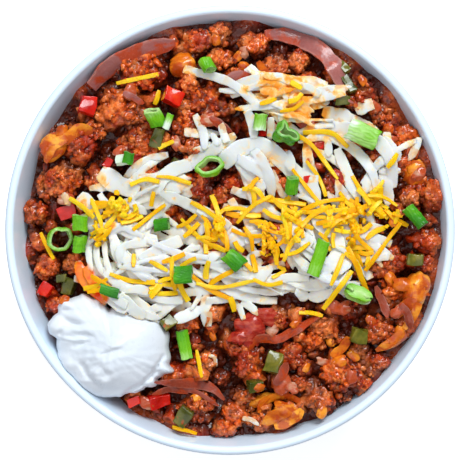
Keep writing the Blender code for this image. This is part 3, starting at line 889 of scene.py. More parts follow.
# points along each large shred, x and y in turn, then its width, in millimetres
paleShreds = (
    (-16.5, 57.5, -0.5, 52.5, 14, 41, 3.2), (1.5, 43, 14, 44, 25, 46, 2.8),
    (-12.5, 41, -9.5, 34.5, -9, 28.5, 3.2), (-20, 21, -12, 25, -3.5, 30, 2, 34, 5),
    (-3, 23, 3, 28.5, 11, 30, 19, 24, 25.5, 17, 30, 8, 6.2), (6, 42.5, 8, 37.5, 8.5, 32.5, 3.6),
    (14.5, 40, 14.5, 36, 14, 32, 2.8), (19.5, 50.5, 19.5, 48.5, 19.5, 46, 3.2),
    (11.5, 54, 16.5, 54, 22, 52.5, 3.6), (10.5, 49, 13.5, 49, 17, 48.5, 3.2),
    (17, 39.5, 22, 40, 27, 39.5, 4.2), (27, 31, 28.5, 20, 30.5, 9, 36.5, 0, 38, -8, 32, -15, 5.4),
    (24, 31, 34, 33.5, 43, 29.5, 49.5, 22, 52, 14, 4), (38, 29, 40.5, 23, 43, 16, 46, 10, 4.2),
    (34.5, 32, 35, 29.5, 35, 26, 2.8), (54, 21.5, 55.5, 15.5, 57, 8, 4.2),
    (53.5, 32, 56.5, 28.5, 60, 24.5, 5.6), (63.5, 24.5, 66, 29, 67.5, 33, 2.8),
    (52.5, 21, 56.5, 21, 60.5, 21.5, 2.8), (44, 38, 51, 33, 56.5, 25, 58, 15, 4.4),
    (-36, -30, -26, -27.5, -14, -22, 0, -21.5, 12, -24, 3.4),
    (-44, 4, -40, -6, -33, -14, -24, -20, 3.6), (22, -6.5, 24.5, -10.5, 29, -14.5, 3.2),
    (19, 4.5, 24, -1, 29, -5.5, 4), (29.5, 5, 33, 2, 37, -2.5, 6), (48.5, 1, 51.5, 1, 55, 0.5, 2.8),
    (-38, 18.5, -30.5, 24.5, -22, 27, 3.2), (-54.5, -11, -52.5, -17, -48, -22, -43.5, -25.5, 4.6),
    (-51.5, -13, -49, -18, -44.5, -22, 3.6), (-46.5, 21, -39.5, 16, -32, 14.5, 7),
    (-28.5, 13, -21.5, 20.5, -14, 23.5, 5), (-25.5, 13.5, -15.5, 9.5, -5.5, 4.5, 4.6),
    (-38, 11, -33.5, 8.5, -29.5, 5.5, 3.2), (-43.5, 3, -35, -1.5, -26, -3.5, 3.6),
    (-50, -2, -50.5, -9, -49, -15, 2.4), (-47.5, -2.5, -47.5, -10, -45, -16.5, 2.4),
    (-45, -3.5, -44, -11, -41.5, -17, 2.4), (-41.5, -3, -41.5, -7.5, -39.5, -11.5, 2.2),
    (-39, -12.5, -38, -6, -25.5, -4, 3.2), (-32, -11, -25.5, -7.5, -17.5, -3.5, 5),
    (-17.5, -11.5, -15, -7.5, -10.5, -6, 2.2), (-54.5, 12, -50, 8.5, -46, 5.5, 6.4),
    (-54, 5, -50, 2.5, -46, 1.5, 5), (-27, -32, -22, -27, -16, -23, 4),
    (-8.5, -23, -8.5, -29, -8, -34.5, 4), (-19.5, -32, -14.5, -30, -10.5, -28, 4.2),
    (-14, -28.5, -12, -25.5, -10.5, -23, 1.8), (0, -19.5, 11, -22, 21.5, -22, 2.8),
    (-3.5, -21, 7.5, -24.5, 17, -25.5, 3.2), (11, -19.5, 16, -17, 21.5, -17, 2.8),
    (1, -25, 3.5, -28, 5, -32, 2.2), (4, -25.5, 7.5, -27.5, 10, -30.5, 2.8),
    (-12, -10.5, -7.5, -10, -3, -8, 3.2), (-0.5, -5.5, 2.5, -3.5, 5, -1, 6.4),
    (5, -3, 8.5, -2.5, 12, -1.5, 5), (5.5, -14.5, 7.5, -9.5, 11.5, -8, 2.8),
    (10, -18.5, 12, -15.5, 15, -13.5, 4), (-12, 0.5, -10.5, 0.5, -8.5, 0, 5),
    (-12, 7, -5.5, 5, 0, 1, 3.2), (0, 11, 1, 9.5, 2.5, 7, 2.8),
    (-41.5, -19, -33.5, -25, -25.5, -31.5, 4.2), (-44.5, -15, -39, -19.5, -32, -21.5, 3.6),
    (-36, -27, -31, -29.5, -24.5, -31.5, 3.2), (-39, -21.5, -32, -21, -24.5, -23.5, 3.2),
    (-28, -23.5, -23, -25, -17, -25, 2.8), (-8.5, -25, -3.5, -25, 2.5, -23.5, 2.8),
    (13.5, -19, 20.5, -17, 28, -17, 3.2), (23.5, -21, 25.5, -22.5, 27, -25.5, 4.2),
    (28, -24, 32, -23, 36.5, -21, 5), (36.5, -15, 39, -13, 42, -10, 5),
    (47, -12.5, 48.5, -14.5, 50, -17.5, 3.6), (31, -16.5, 34, -17, 37, -17.5, 3.6),
    (39, -19, 41, -17, 42.5, -14.5, 2.8), (33, 42.5, 38, 41, 43.5, 40, 5.6),
    (33.5, 38, 38.5, 36.5, 43.5, 36, 4.6), (45, 42, 48, 44, 51, 45, 4.6),
    (25, 51.5, 28.5, 50, 32, 47.5, 3.2), (10, 17.5, 11, 15.5, 11.5, 13.5, 3.6),
    (20, 28, 21.5, 24, 21.5, 20.5, 3.6), (37.5, 7.5, 41, 5.5, 43.5, 2.5, 5),
    (-3.5, 38.5, -2.5, 35, -1, 31, 2.8), (-6.5, 34.5, -5.5, 32.5, -4, 30, 2.4),
    (-46, -20, -41.5, -25, -36.5, -29, 4), (-39, -22.5, -34.5, -27.5, -30, -31, 4.2),
    (-60, 13, -58.5, 11, -57.5, 8.5, 2.6), (-8, -45, -5.5, -45.5, -5, -49, 1.4),
    (4.5, -67.5, 7.5, -68, 10.5, -70, 1.8), (-43, -21, -39, -25, -36, -26.5, 3.4),
)

# thickness, widths and lengths in millimetres, straying in degrees, the rest in metres or shares
paleHeap = {
    "thickness": 1.7,
    "voxel": 0.00036,
    "finerVoxel": 0.00028,
    "kept": 0.28,
    "thin": 0.0006,
    "thick": 0.0040,
    "spacing": 0.0014,
    "slope": 0.45,
    "sunk": 0.0005,
    "filling": (2.0, 3.9),
    "finest": (1.1, 2.2),
    "lengths": (6, 12),
    "straying": 17,
    "bow": 0.25,
}
# widest of each kind of shred in millimetres, and its thickness as a share of its width
paleKinds = {"Thin": (2.6, 0.52), "Even": (4.2, 0.34), "Wide": (math.inf, 0.22)}
# middle, reach, number and heading of the small shreds in each part of the heap, in millimetres and degrees
paleParts = (
    (-38, -4, 14, 18, 20, -62), (-24, 8, 18, 10, 15, 16), (-4, -4, 28, 16, 27, -28),
    (34, 4, 19, 20, 32, -62), (8, 29, 26, 10, 9, -15), (-26, 17, 15, 8, 9, 28),
    (21, 46, 13, 8, 18, -10), (-12, -19, 24, 8, 21, -18), (6, 19, 12, 5, 6, -40),
    (-46, -19, 4, 4, 5, -45), (40, -2, 15, 14, 14, -45), (52, 16, 9, 13, 7, 70),
    (24, -18, 16, 6, 10, 5), (56, 26, 6, 6, 3, 40), (-30, -16, 12, 8, 12, -40), (43, 34, 9, 6, 5, -35),
    (18, 50, 14, 5, 5, 5),
)
# the finest shreds, which lie on the others
finerParts = (
    (-32, -3, 18, 16, 6, 20), (-4, -14, 26, 12, 8, -20), (30, -3, 18, 16, 5, -50),
    (22, 46, 12, 6, 3, 0),
)
# middle and reach of the places that the sauce has stained, in millimetres
paleStains = (
    (-14.7, 54.5, 3), (3, 41.7, 2.5), (5.5, 49.5, 2), (14.4, 51.3, 6), (21.5, 51.3, 7), (11.5, 48.4, 3),
    (25, 44.2, 8), (28.6, 42.4, 7), (33, 41.7, 3.5), (19.7, 39.6, 2.5), (26.8, 29.3, 2.5),
    (3.7, 35.3, 2), (-52.3, 9.8, 2.5), (-44.2, 17.6, 2.5), (-41.7, 1.6, 1.5), (47, 37, 3.5),
    (39, 45, 3),
)
soakedPlaces = ((-53.5, -14, 3.5), (-51.5, -17.5, 4.5), (-48.5, -20.5, 4.5), (-46, -23.5, 3.5))
# middle and radius of the places where the chili shows through, in millimetres
paleGaps = (
    (-28, 35, 7), (-10, 44, 6), (-4, 17, 5), (30, 14, 4), (48, 25, 5), (50, 12, 3), (-7, 24, 4),
    (-19, 3, 3), (24, 27, 3.5), (-4, 31, 3), (-17, 27, 3),
)


def paleMaterial():
    made = newMaterial("paleCheese")
    broad = spots(made, 60)
    streaks = spots(made, 260)
    grain = put(made, fineGrain, Scale=900, Detail=2, Smoothest=0.30, Roughest=0.46)
    stained = spots(made, 260, 3, 0.6, 0.6)
    plain = ramp(made, broad, [(0.35, (0.69, 0.705, 0.665)), (0.65, (0.72, 0.72, 0.725))])
    soft = blendColours(made, between(made, streaks, 0.45, 0.7, 0, 0.35), plain, (0.72, 0.72, 0.62))
    depth = marked(made, "depth")
    # painted light and shade: low, thin cheese near the chili is tinted tan and pink, standing in for the
    # chili glowing through it and for warm shade
    under = ramp(made, depth, [(0, (0.70, 0.42, 0.20)), (0.35, (0.80, 0.66, 0.46)), (1, (0.81, 0.81, 0.73))])
    hollow = marked(made, "hollow")
    # painted light: the hollows between shreds are lifted to a warm pale tone, standing in for light glowing
    # through the cheese
    inner = blendColours(made, between(made, hollow, 0.15, 0.9, 0, 0.75), soft, (0.87, 0.83, 0.73))
    paintedLightTone = blendColours(made, between(made, depth, 0.55, 0, 0, 0.9), inner, under)
    shallow = between(made, depth, 0, 0.6, 0.08, 0)
    near = calculate(made, "ADD", between(made, marked(made, "stain"), 0, 1, -0.08, 0.26), shallow)
    stain = calculate(made, "ADD", stained, near)
    tinged = blendColours(made, between(made, stain, 0.52, 0.66, 0, 0.8), paintedLightTone, (1.0, 0.70, 0.26))
    sauced = blendColours(made, between(made, stain, 0.60, 0.78, 0, 0.95), tinged, (1.0, 0.34, 0.012))
    soaked = marked(made, "soaked")
    ragged = calculate(made, "ADD", soaked, between(made, stained, 0, 1, -0.2, 0.2))
    oily = ramp(made, streaks, [(0.35, (0.95, 0.085, 0.0005)), (0.65, (1.0, 0.29, 0.003))])
    steeped = blendColours(made, between(made, ragged, 0.35, 0.6), sauced, oily)
    wire(made, Base_Color=steeped, Roughness=grain["Roughness"])
    wire(made, Normal=bumped(made, grain["Height"], 0.15, 0.0003))
    wire(made, Coat_Weight=between(made, soaked, 0.3, 0.7, 0, 0.7), Coat_Roughness=0.06)
    wire(made, Subsurface_Weight=1.0, Subsurface_Radius=(0.0062, 0.0052, 0.0034))
    wire(made, Specular_IOR_Level=0.3)
    return made


def inGap(x, y):
    return any(math.hypot(x - gx, y - gy) < radius for gx, gy, radius in paleGaps)


def randomShreds(rng, parts, narrow, wide):
    s = paleHeap
    routes = []
    for x, y, reachX, reachY, count, mostly in parts:
        for _ in range(count):
            angle = rng.uniform(0, math.tau)
            share = rng.uniform(0, 1) ** 0.5
            spot = Vector((x + math.cos(angle) * reachX * share, y + math.sin(angle) * reachY * share))
            heading = math.radians(rng.gauss(mostly, s["straying"]))
            ahead = headed(heading, rng.uniform(*s["lengths"]))
            bow = leftOf(ahead) * rng.uniform(-s["bow"], s["bow"])
            if inGap(*spot) or inGap(*(spot + ahead)) or inGap(*(spot - ahead)):
                continue
            route = (*(spot - ahead), *(spot + bow), *(spot + ahead))
            routes.append((*route, rng.uniform(narrow, wide)))
    return routes


def layShreds(name, routes, rng):
    s = paleHeap
    strips = {kind: [] for kind in paleKinds}
    for *spots, width in routes:
        points = [(x * mm, y * mm) for x, y in zip(spots[::2], spots[1::2])]
        thickness = s["thickness"] * mm * (0.55 + 0.08 * width)
        route = smoothRoute(points, s["spacing"])
        path = layRoute(route, width * mm, thickness, s["slope"], s["sunk"])
        tilts = (rng.uniform(-0.3, 0.3), rng.uniform(-0.3, 0.3))
        blunt = (rng.uniform(0.2, 1), rng.uniform(0.2, 1))
        kind = next(kind for kind, (widest, _) in paleKinds.items() if width < widest)
        strips[kind].append((path, width * mm, tilts, blunt))
    made = []
    for kind, (_, flatness) in paleKinds.items():
        if strips[kind]:
            profile = cuppedProfile(kind + "Profile", flatness)
            made.append(makeStrips(name + kind, strips[kind], profile))
            discard(profile)
    return joinUp(made, name)


def meltTogether(obj, voxel, kept):
    fuse = obj.modifiers.new("fuse", "REMESH")
    fuse.mode = "VOXEL"
    fuse.voxel_size = voxel
    soften = obj.modifiers.new("soften", "SMOOTH")
    soften.factor = 0.5
    soften.iterations = 2
    thin = obj.modifiers.new("thin", "DECIMATE")
    thin.ratio = kept
    applyAll(obj)


def markDepth(obj, level, thin, thick):
    def howThick(vertex):
        above = vertex.co.z - level[cellOf(vertex.co.x, vertex.co.y)]
        return min(1, max(0, (above - thin) / (thick - thin)))

    markPoints(obj, "depth", howThick)


def markStains(obj, name, places):
    def howStained(vertex):
        x, y = vertex.co.x / mm, vertex.co.y / mm
        return max(math.exp(-((x - sx) ** 2 + (y - sy) ** 2) / r**2) for sx, sy, r in places)

    markPoints(obj, name, howStained)


def makePaleCheese():
    s = paleHeap
    rng = random.Random(21)
    chiliLevel = groundLevel.copy()
    filling = layShreds("filling", randomShreds(rng, paleParts, *s["filling"]), rng)
    finer = randomShreds(rng, finerParts, *s["finest"])
    shreds = layShreds("topShreds", [*paleShreds, *finer], rng)
    meltTogether(filling, s["voxel"], s["kept"])
    meltTogether(shreds, s["finerVoxel"], s["kept"])
    cheese = joinUp([filling, shreds], "paleShreds")
    roughen(cheese, 0.003, 0.0004, "melted")
    markHollows(cheese)
    markDepth(cheese, chiliLevel, s["thin"], s["thick"])
    markStains(cheese, "stain", paleStains)
    markStains(cheese, "soaked", soakedPlaces)
    smoothAll(cheese)
    finishPiece(cheese, paleMaterial(), "pale_cheese", "pale_cheese")


# the cheddar

# start, middle and end of each shred, in millimetres
cheddarShreds = (
    (-35.5, 16, -30, 18, -25, 17), (-26, 19, -20.5, 18.5, -14, 16.5), (-46, 8.5, -41.5, 9.5, -37.5, 8),
    (-45, 6, -41.5, 7, -38, 10.5), (-40, 5.5, -36.5, 4.5, -33.5, 6), (-49.5, -1.5, -46, 0, -42.5, -1),
    (-48, -3.5, -45, -2.5, -42, 1), (-34.5, 0, -28.5, 5, -23, 9), (-27, 13.5, -27.5, 11, -28, 8.5),
    (-42.5, -15.5, -35.5, -18, -26.5, -18.5), (-28.5, -11, -25.5, -12.5, -22, -14.5),
    (-34, -8.5, -34, -10.5, -34, -13), (-20.5, -9.5, -20.5, -15.5, -19.5, -21.5),
    (-17.5, -13, -14.5, -11, -12, -10), (-25.5, -18.5, -23, -17.5, -20.5, -17),
    (-17.5, 4, -10.5, -3, -1.5, -7.5), (-16.5, -2.5, -13.5, 0, -11, 2.5),
    (-6.5, 12.5, -4.5, 7, -3, 0.5), (-1.5, 6, 4.5, 5, 11, 5.5), (-8.5, -17.5, -8.5, -14.5, -7.5, -11),
    (-7.5, -19.5, -3, -16.5, 1, -14.5), (-14, -16, -7.5, -21, 0, -24.5),
    (-12, -19, -4, -20.5, 8.5, -18), (0, -24, 1, -26.5, 1.5, -29), (-28, -24, -26.5, -22, -24.5, -19.5),
    (12.5, 3.5, 12, -2.5, 12, -8.5), (18.5, 6, 20, 0.5, 20.5, -5), (17, -13, 19.5, -14.5, 15, -17),
    (26, 34.5, 36, 34.5, 42, 29.5), (22.5, 34.5, 29.5, 29.5, 38, 18), (22, 21.5, 28, 14, 35.5, 5),
    (4.5, 14.5, 9, 14.5, 12, 11), (7, 14.5, 8.5, 17, 10, 18.5), (12, 11, 19.5, 10, 27, 9),
    (25.5, 7, 33, 10, 40.5, 11), (3.5, 6, 7.5, 5, 11, 5), (19, 6, 24.5, 2.5, 29.5, 0.5),
    (19, -11, 21.5, -5, 25.5, 0), (45, 14.5, 47.5, 12, 49.5, 9), (48.5, 5, 51, 8, 53.5, 10.5),
    (43.5, 0, 46.5, -4, 50.5, -7.5), (45.5, -7.5, 48, -8.5, 51, -8), (48, -14.5, 54.5, -5.5, 60.5, 2.5),
    (40.5, -8, 45, -12, 47, -18), (40, -8.5, 38, -13.5, 35.5, -19.5), (43, -6, 45, -8.5, 47, -13),
    (55.5, 22, 57.5, 24.5, 59, 27), (57.5, 6, 59, 5.5, 61, 5), (33, -28, 38, -21, 43, -14.5),
    (41.5, -6, 45.5, -14.5, 49, -22.5), (24.5, -29.5, 29, -29.5, 33, -30.5),
    (-40.5, 52.5, -33, 54, -25.5, 55.5), (-27, 45, -26, 47.5, -25.5, 50),
    (-25.5, 29, -22.5, 30.5, -20, 31.5), (-68.5, -1, -66, -6, -63.5, -10.5),
    (-12, -43, -11, -47.5, -10, -52.5), (-20.5, -70.5, -16, -71.5, -12, -73), (-14, 10, -8.5, 7, -2, 2),
    (-19, 1, -15.5, 2.5, -12, 5.5), (1, -10, 5, -11.5, 8, -14.5), (-12, -3, -9, -2.5, -6, -3.5),
    (27, 24.5, 31.5, 18.5, 34, 12), (35.5, 1, 38.5, 3.5, 43, 5), (31.5, -1, 34, -3.5, 35.5, -7.5),
    (9, 2.5, 13.5, 0, 19.5, -1.5), (5, 1, 7.5, -3, 8, -7.5), (14.5, 12, 18, 8.5, 23.5, 5.5),
    (2.5, 2.5, 8, 8.5, 14.5, 12), (25, 1, 29.5, 5.5, 35.5, 8.5),
)

# middle, reach, number and heading of the shreds in each heap, in millimetres and degrees
cheddarHeaps = (
    (-42, 8, 6, 3, 7, 10), (-36, 5, 5, 3, 6, 60), (-3.5, -1, 5, 5, 7, -50), (14, -4, 7, 10, 9, -80),
    (48, 7, 9, 6, 20, -60), (43, -2, 7, 5, 8, 60), (22, 4, 10, 6, 7, -70), (34, 3, 8, 7, 5, 20),
    (-18, -16, 8, 6, 4, 60), (2, 1, 8, 5, 4, -30), (-47.5, -19, 3.5, 2, 3, 10), (20, 48, 8, 4, 4, 0),
)
# middle and reach of the places with melted crumbs, in millimetres
crumblyPlaces = (
    (-39, 8.5, 6, 4), (-47, -1, 3, 5), (48, 6, 7, 5), (43, 0, 4, 5), (18, 1, 8, 6), (-4, 0, 3, 4),
    (13, -4, 3, 6),
)
# the same units
cheddarShape = {
    "width": 1.7,
    "thickness": 1.0,
    "spacing": 0.0013,
    "slope": 0.5,
    "sunk": 0.0002,
    "straying": 45,
    "lengths": (2.2, 6),
    "bow": 0.28,
    "crumbs": 130,
    "crumbKinds": 4,
    "crumbSizes": (0.0005, 0.0012),
    "crumbVoxel": 0.0003,
    "crumbsKept": 0.6,
}


def cheddarMaterial():
    made = newMaterial("cheddar")
    broad = spots(made, 90)
    grain = put(made, fineGrain, Scale=1100, Detail=2, Smoothest=0.28, Roughest=0.45)
    stops = [(0, (1.0, 0.46, 0.002)), (0.5, (1.0, 0.56, 0.004)), (1, (1.0, 0.69, 0.03))]
    plain = ramp(made, eachBit(made), stops)
    warm = blendColours(made, between(made, broad, 0.4, 0.7, 0, 0.4), plain, (1.0, 0.42, 0.003))
    wire(made, Base_Color=warm, Roughness=grain["Roughness"])
    wire(made, Normal=bumped(made, grain["Height"], 0.25, 0.0004))
    wire(made, Subsurface_Weight=1.0, Subsurface_Radius=(0.003, 0.002, 0.0004))
    wire(made, Specular_IOR_Level=0.25)
    return made


def makeCheddar():
    s = cheddarShape
    rng = random.Random(33)
    routes = []
    for x, y, reachX, reachY, count, mostly in cheddarHeaps:
        for _ in range(count):
            spot = Vector((rng.gauss(x, reachX * 0.7), rng.gauss(y, reachY * 0.7)))
            heading = math.radians(rng.gauss(mostly, s["straying"]))
            ahead = headed(heading, rng.uniform(*s["lengths"]))
            bow = leftOf(ahead) * rng.uniform(-s["bow"], s["bow"])
            routes.append((*(spot - ahead), *(spot + bow), *(spot + ahead)))
    strips = []
    for x0, y0, x1, y1, x2, y2 in [*routes, *cheddarShreds]:
        points = [(x0 * mm, y0 * mm), (x1 * mm, y1 * mm), (x2 * mm, y2 * mm)]
        width = s["width"] * mm * rng.uniform(0.8, 1.15)
        route = smoothRoute(points, s["spacing"])
        path = layRoute(route, width, s["thickness"] * mm, s["slope"], s["sunk"])
        tilts = (rng.uniform(-0.5, 0.5), rng.uniform(-0.5, 0.5))
        strips.append((path, width, tilts, (rng.uniform(0.6, 1), rng.uniform(0.6, 1))))
    profile = roundedProfile("cheddarProfile", 1, 0.5, 0.08)
    cheese = makeStrips("cheddarShreds", strips, profile)
    discard(profile)
    roughen(cheese, 0.002, 0.0003, "grated")
    smoothAll(cheese, 40)
    material = cheddarMaterial()
    finishPiece(cheese, material, "cheddar", "cheddar")
    makeCheddarCrumbs(rng, material)


def makeCheddarCrumbs(rng, material):
    s = cheddarShape
    masters = [makeCrumb(index, 2) for index in range(s["crumbKinds"])]
    made = []
    while len(made) < s["crumbs"]:
        x, y, reachX, reachY = rng.choice(crumblyPlaces)
        x, y = rng.gauss(x, reachX * 0.5) * mm, rng.gauss(y, reachY * 0.5) * mm
        size = rng.uniform(*s["crumbSizes"])
        spot = Vector((x, y, groundAt(x, y) + size * 0.3))
        turn = Euler([rng.uniform(0, math.tau) for _ in range(3)])
        scale = Vector((size * rng.uniform(1, 2), size, size * 0.7))
        made.append(copyOf(rng.choice(masters), Matrix.LocRotScale(spot, turn, scale)))
        stamp(x, y, size, spot.z + size * 0.5)
    discard(*masters)
    crumbs = joinUp(made, "cheddarCrumbs")
    meltTogether(crumbs, s["crumbVoxel"], s["crumbsKept"])
    roughen(crumbs, 0.0010, 0.0006, "crumbled")
    smoothAll(crumbs, 35)
    finishPiece(crumbs, material, "cheddar")


# the sour cream

# in metres, apart from the angle at which the edge has gone round and the shares of fraying
creamShape = {
    "middle": Vector((-0.0415, -0.0420)),
    "base": 0.0600,
    "rise": 0.0085,
    "segments": 240,
    "rings": 110,
    "round": 338.4,
    "underside": 0.007,
    "offWall": 0.0002,
    "frayed": (0.012, 0.030),
    "fold": 0.0007,
    "ripple": 0.0003,
}
# how far the edge reaches from the middle, in degrees and millimetres
creamEdge = (
    (-21.6, 23.2), (-17, 20.8), (-8, 20.4), (4.6, 20.0), (18.4, 19.9), (31, 18.9), (38, 17.0),
    (59, 15.4), (83, 15.3), (97, 13.9), (103, 16.3), (110, 18.7), (122, 22.4), (131, 23.4), (137, 25.8),
    (143, 25.2), (148, 23.6), (153, 24.6), (160, 25.3), (167, 24.1), (171, 20.9), (185, 20.4),
    (197, 20.2), (219, 18.2), (245, 18.6), (269, 17.9), (285, 17.5), (308, 18.7), (319, 20.6),
    (324, 19.3), (331, 20.2), (338.4, 23.2),
)
# place, half width along and across, heading and height of each swelling, in millimetres and degrees
creamSwells = (
    (5.5, 1.0, 14.5, 12.5, 60, 5.2), (-3.5, -7.5, 8, 6, 45, 1.6), (-21, 8.0, 3.6, 3.6, 0, 1.6),
    (-18.4, 16.4, 3.0, 3.0, 0, 1.3), (-11.5, 16.0, 6.0, 3.6, -20, 1.5),
    (-12.5, 11.2, 5.0, 1.8, -8, 0.9), (-11.0, 6.6, 6.0, 1.7, 4, 1.0), (-14.5, 3.0, 4.5, 1.6, 12, 0.8),
    (-5.6, -9.6, 2.2, 1.7, 60, 0.9), (-3.2, -11.6, 1.8, 1.5, 0, 0.8), (-16.6, -6.0, 3.2, 2.2, -50, 0.8),
    (-11.0, -12.0, 3.4, 1.8, -40, 0.7), (20.0, -8.0, 2.0, 1.4, -20, 1.0),
    (19.6, -4.4, 1.3, 1.3, 0, 0.8), (1.8, 1.6, 3.2, 1.4, 20, 0.7), (-0.5, -15.0, 3.5, 1.4, 5, -0.6),
    (-5.6, -2.6, 2.6, 1.2, 35, 0.7), (12.0, 8.0, 5.0, 3.0, -40, 0.6),
)
# start and end of each crease, its width and depth, in millimetres
creamCreases = (
    (-16.6, 9.6, -11.5, 8.4, 1.0, 1.2), (-14.6, 5.2, -6.6, 4.6, 0.9, 1.1),
    (-16.2, 4.4, -12.4, 4.1, 0.7, 0.8), (-13.4, 0.8, -6.8, 3.2, 0.9, 0.9),
    (-4.6, -2.2, -0.8, -0.8, 0.8, 1.0), (-0.8, -0.8, 2.6, 0.4, 0.7, 0.8),
    (-6.8, -6.4, -4.2, -4.8, 0.8, 0.9), (-11.6, -4.6, -8.6, -9.6, 1.0, 1.4),
    (-8.6, -9.6, -4.6, -13.4, 1.0, 1.3), (4.6, -15.6, 10.4, -12.8, 0.8, 1.5),
    (10.4, -12.8, 14.8, -8.4, 0.8, 1.7), (14.8, -8.4, 17.8, -2.6, 0.8, 1.6),
    (-18.6, 13.4, -13.8, 13.6, 0.9, 0.9), (-19.6, 4.4, -17.8, 6.8, 0.9, 1.2),
    (-3.6, -6.6, -1.6, -9.0, 0.7, 0.7),
)


def creamReach(angle):
    turn = math.degrees(angle)
    turn = turn - 360 if turn > creamShape["round"] else turn
    for (before, near), (after, far) in zip(creamEdge, creamEdge[1:]):
        if before <= turn <= after:
            share = (turn - before) / (after - before)
            return near + (far - near) * share * share * (3 - 2 * share)


def creaseDepth(x, y):
    depth = 0
    for x0, y0, x1, y1, width, deep in creamCreases:
        line = Vector((x1 - x0, y1 - y0))
        share = max(0, min(1, Vector((x - x0, y - y0)).dot(line) / line.length_squared))
        wander = 0.5 * noise.noise(Vector((x * 0.35, y * 0.35, y0)))
        away = abs((Vector((x - x0, y - y0)) - line * share).length + wander)
        taper = min(1, 0.35 + 2.2 * min(share, 1 - share))
        depth += deep * taper * math.exp(-((away / width) ** 2))
    return depth


def swellHeight(x, y):
    height = 0
    for middleX, middleY, along, across, heading, rise in creamSwells:
        a = math.radians(heading)
        dx, dy = x - middleX, y - middleY
        u = (dx * math.cos(a) + dy * math.sin(a)) / along
        v = (dy * math.cos(a) - dx * math.sin(a)) / across
        height += rise * math.exp(-((u * u + v * v) ** 1.3))
    return height


def creamPoint(facing):
    s = creamShape
    angle = math.atan2(facing.y, facing.x) % math.tau
    level = max(-1, min(1, facing.z))
    out = math.sqrt(max(0, 1 - level * level))
    flat = Vector((math.cos(angle), math.sin(angle)))
    low = 0.5 + 0.5 * math.cos(angle + 0.9)
    frayed = noise.noise(Vector((flat.x * 8, flat.y * 8, 0.4)))
    ragged = 1 + (s["frayed"][0] + s["frayed"][1] * low) * frayed * out**6
    x, y = flat * creamReach(angle) * out**0.85 * ragged
    if level < 0:
        return x, y, s["base"] + s["underside"] * level
    eased = min(1, 2.6 * level)
    height = s["rise"] * level**0.75
    height += (swellHeight(x, y) - creaseDepth(x, y)) * mm * eased
    crumple = 0.25 + math.exp(-((x + 6) ** 2 + (y + 5) ** 2) / 60)
    folds = Vector((x * 0.16 + y * 0.10, y * 0.42 - x * 0.12, 3))
    height += s["fold"] * crumple * eased * noise.noise(folds)
    height += s["ripple"] * crumple * eased * noise.noise(Vector((x * 0.6, y * 0.6, 8)))
    return x, y, s["base"] + height


def creamMaterial():
    made = newMaterial("sourCream")
    broad = spots(made, 60)
    grain = put(made, fineGrain, Scale=500, Detail=3, Smoothest=0.25, Roughest=0.42)
    tint = ramp(made, broad, [(0.3, (0.74, 0.783, 0.83)), (0.7, (0.79, 0.813, 0.85))])
    wire(made, Base_Color=tint, Roughness=grain["Roughness"])
    wire(made, Normal=bumped(made, grain["Height"], 0.12, 0.0006, bumped(made, broad, 0.2, 0.002)))
    wire(made, Subsurface_Weight=0.3, Subsurface_Radius=(0.003, 0.003, 0.003))
    wire(made, Coat_Weight=0.1, Coat_Roughness=0.2, Specular_IOR_Level=0.35)
    return made


def makeSourCream():
    s = creamShape
    bpy.ops.mesh.primitive_uv_sphere_add(segments=s["segments"], ring_count=s["rings"], radius=1)
    cream = bpy.context.object
    cream.name = cream.data.name = "sourCreamSpoonful"
    for vertex in cream.data.vertices:
        x, y, z = creamPoint(vertex.co.normalized())
        spot = s["middle"] + Vector((x, y)) * mm
        limit = wallRadius(z) - s["offWall"]
        if spot.length > limit:
            spot *= limit / spot.length
        vertex.co = (*spot, z)
    smoothAll(cream)
    finishPiece(cream, creamMaterial(), "sour_cream", "sour_cream")
    return cream


# onion and pepper in the chili

# route and width in millimetres, then the tilt and the bluntness of each end
onionRoutes = {
    "onion_strip_left": (
        ((-50, 51.5), (-44, 58), (-36, 62.3), (-28, 65.2), (-19.5, 67)), 7.0, (0.9, 0.4), (0.75, 0.25)),
    "onion_strip_far": (
        ((12.5, 70), (22, 69.5), (31, 65), (37, 58), (40, 49)), 6.0, (-0.1, -0.3), (0.4, 0.3)),
    "onion_strip_right": (
        ((6.5, -43), (10, -38.8), (17, -39), (23, -36), (33, -30)), 3.4, (0.9, -1.2), (0.3, 0.5)),
    "onion_strip_near": (
        ((-27, -54), (-19, -54.5), (-12, -55), (-6, -57), (-2, -61)), 3.6, (0.9, -0.6), (0.3, 0.2)),
}
onionExtras = (
    (((-2, 52), (4, 54.5), (9.5, 52)), 4.6, (0.3, 0.3), (0.5, 0.5)),
    (((-7, 40), (-3, 37), (1, 33)), 3.0, (0.3, 0), (0.4, 0.4)),
    (((16, -55), (18.5, -51), (20, -47)), 3.4, (0.2, 0.5), (0.4, 0.4)),
    (((60, -26), (63, -30), (64, -35)), 3.0, (0.2, 0.5), (0.4, 0.4)),
    (((52, -20), (54.5, -26), (56, -31)), 3.0, (0.5, 0), (0.4, 0.4)),
    (((-28, -59), (-21, -57), (-15, -58.5)), 2.2, (0.4, 0), (0.3, 0.3)),
    (((23, 41), (28, 36), (30, 31)), 4.0, (0.2, -0.2), (0.4, 0.4)),
    (((-38, 49), (-34, 47), (-31, 45)), 2.4, (0, 0), (0.4, 0.4)),
    (((28, 55), (36, 49), (44, 45)), 1.4, (0, 0), (0.3, 0.3)),
    (((-20, -57), (-12, -58), (-4, -63)), 1.6, (0, 0.3), (0.3, 0.3)),
)

wetLook = {"Coat_Roughness": 0.07, "Subsurface_Weight": 0.06, "Specular_IOR_Level": 0.2}
cookedDepth = (0.002, 0.001, 0.0006)


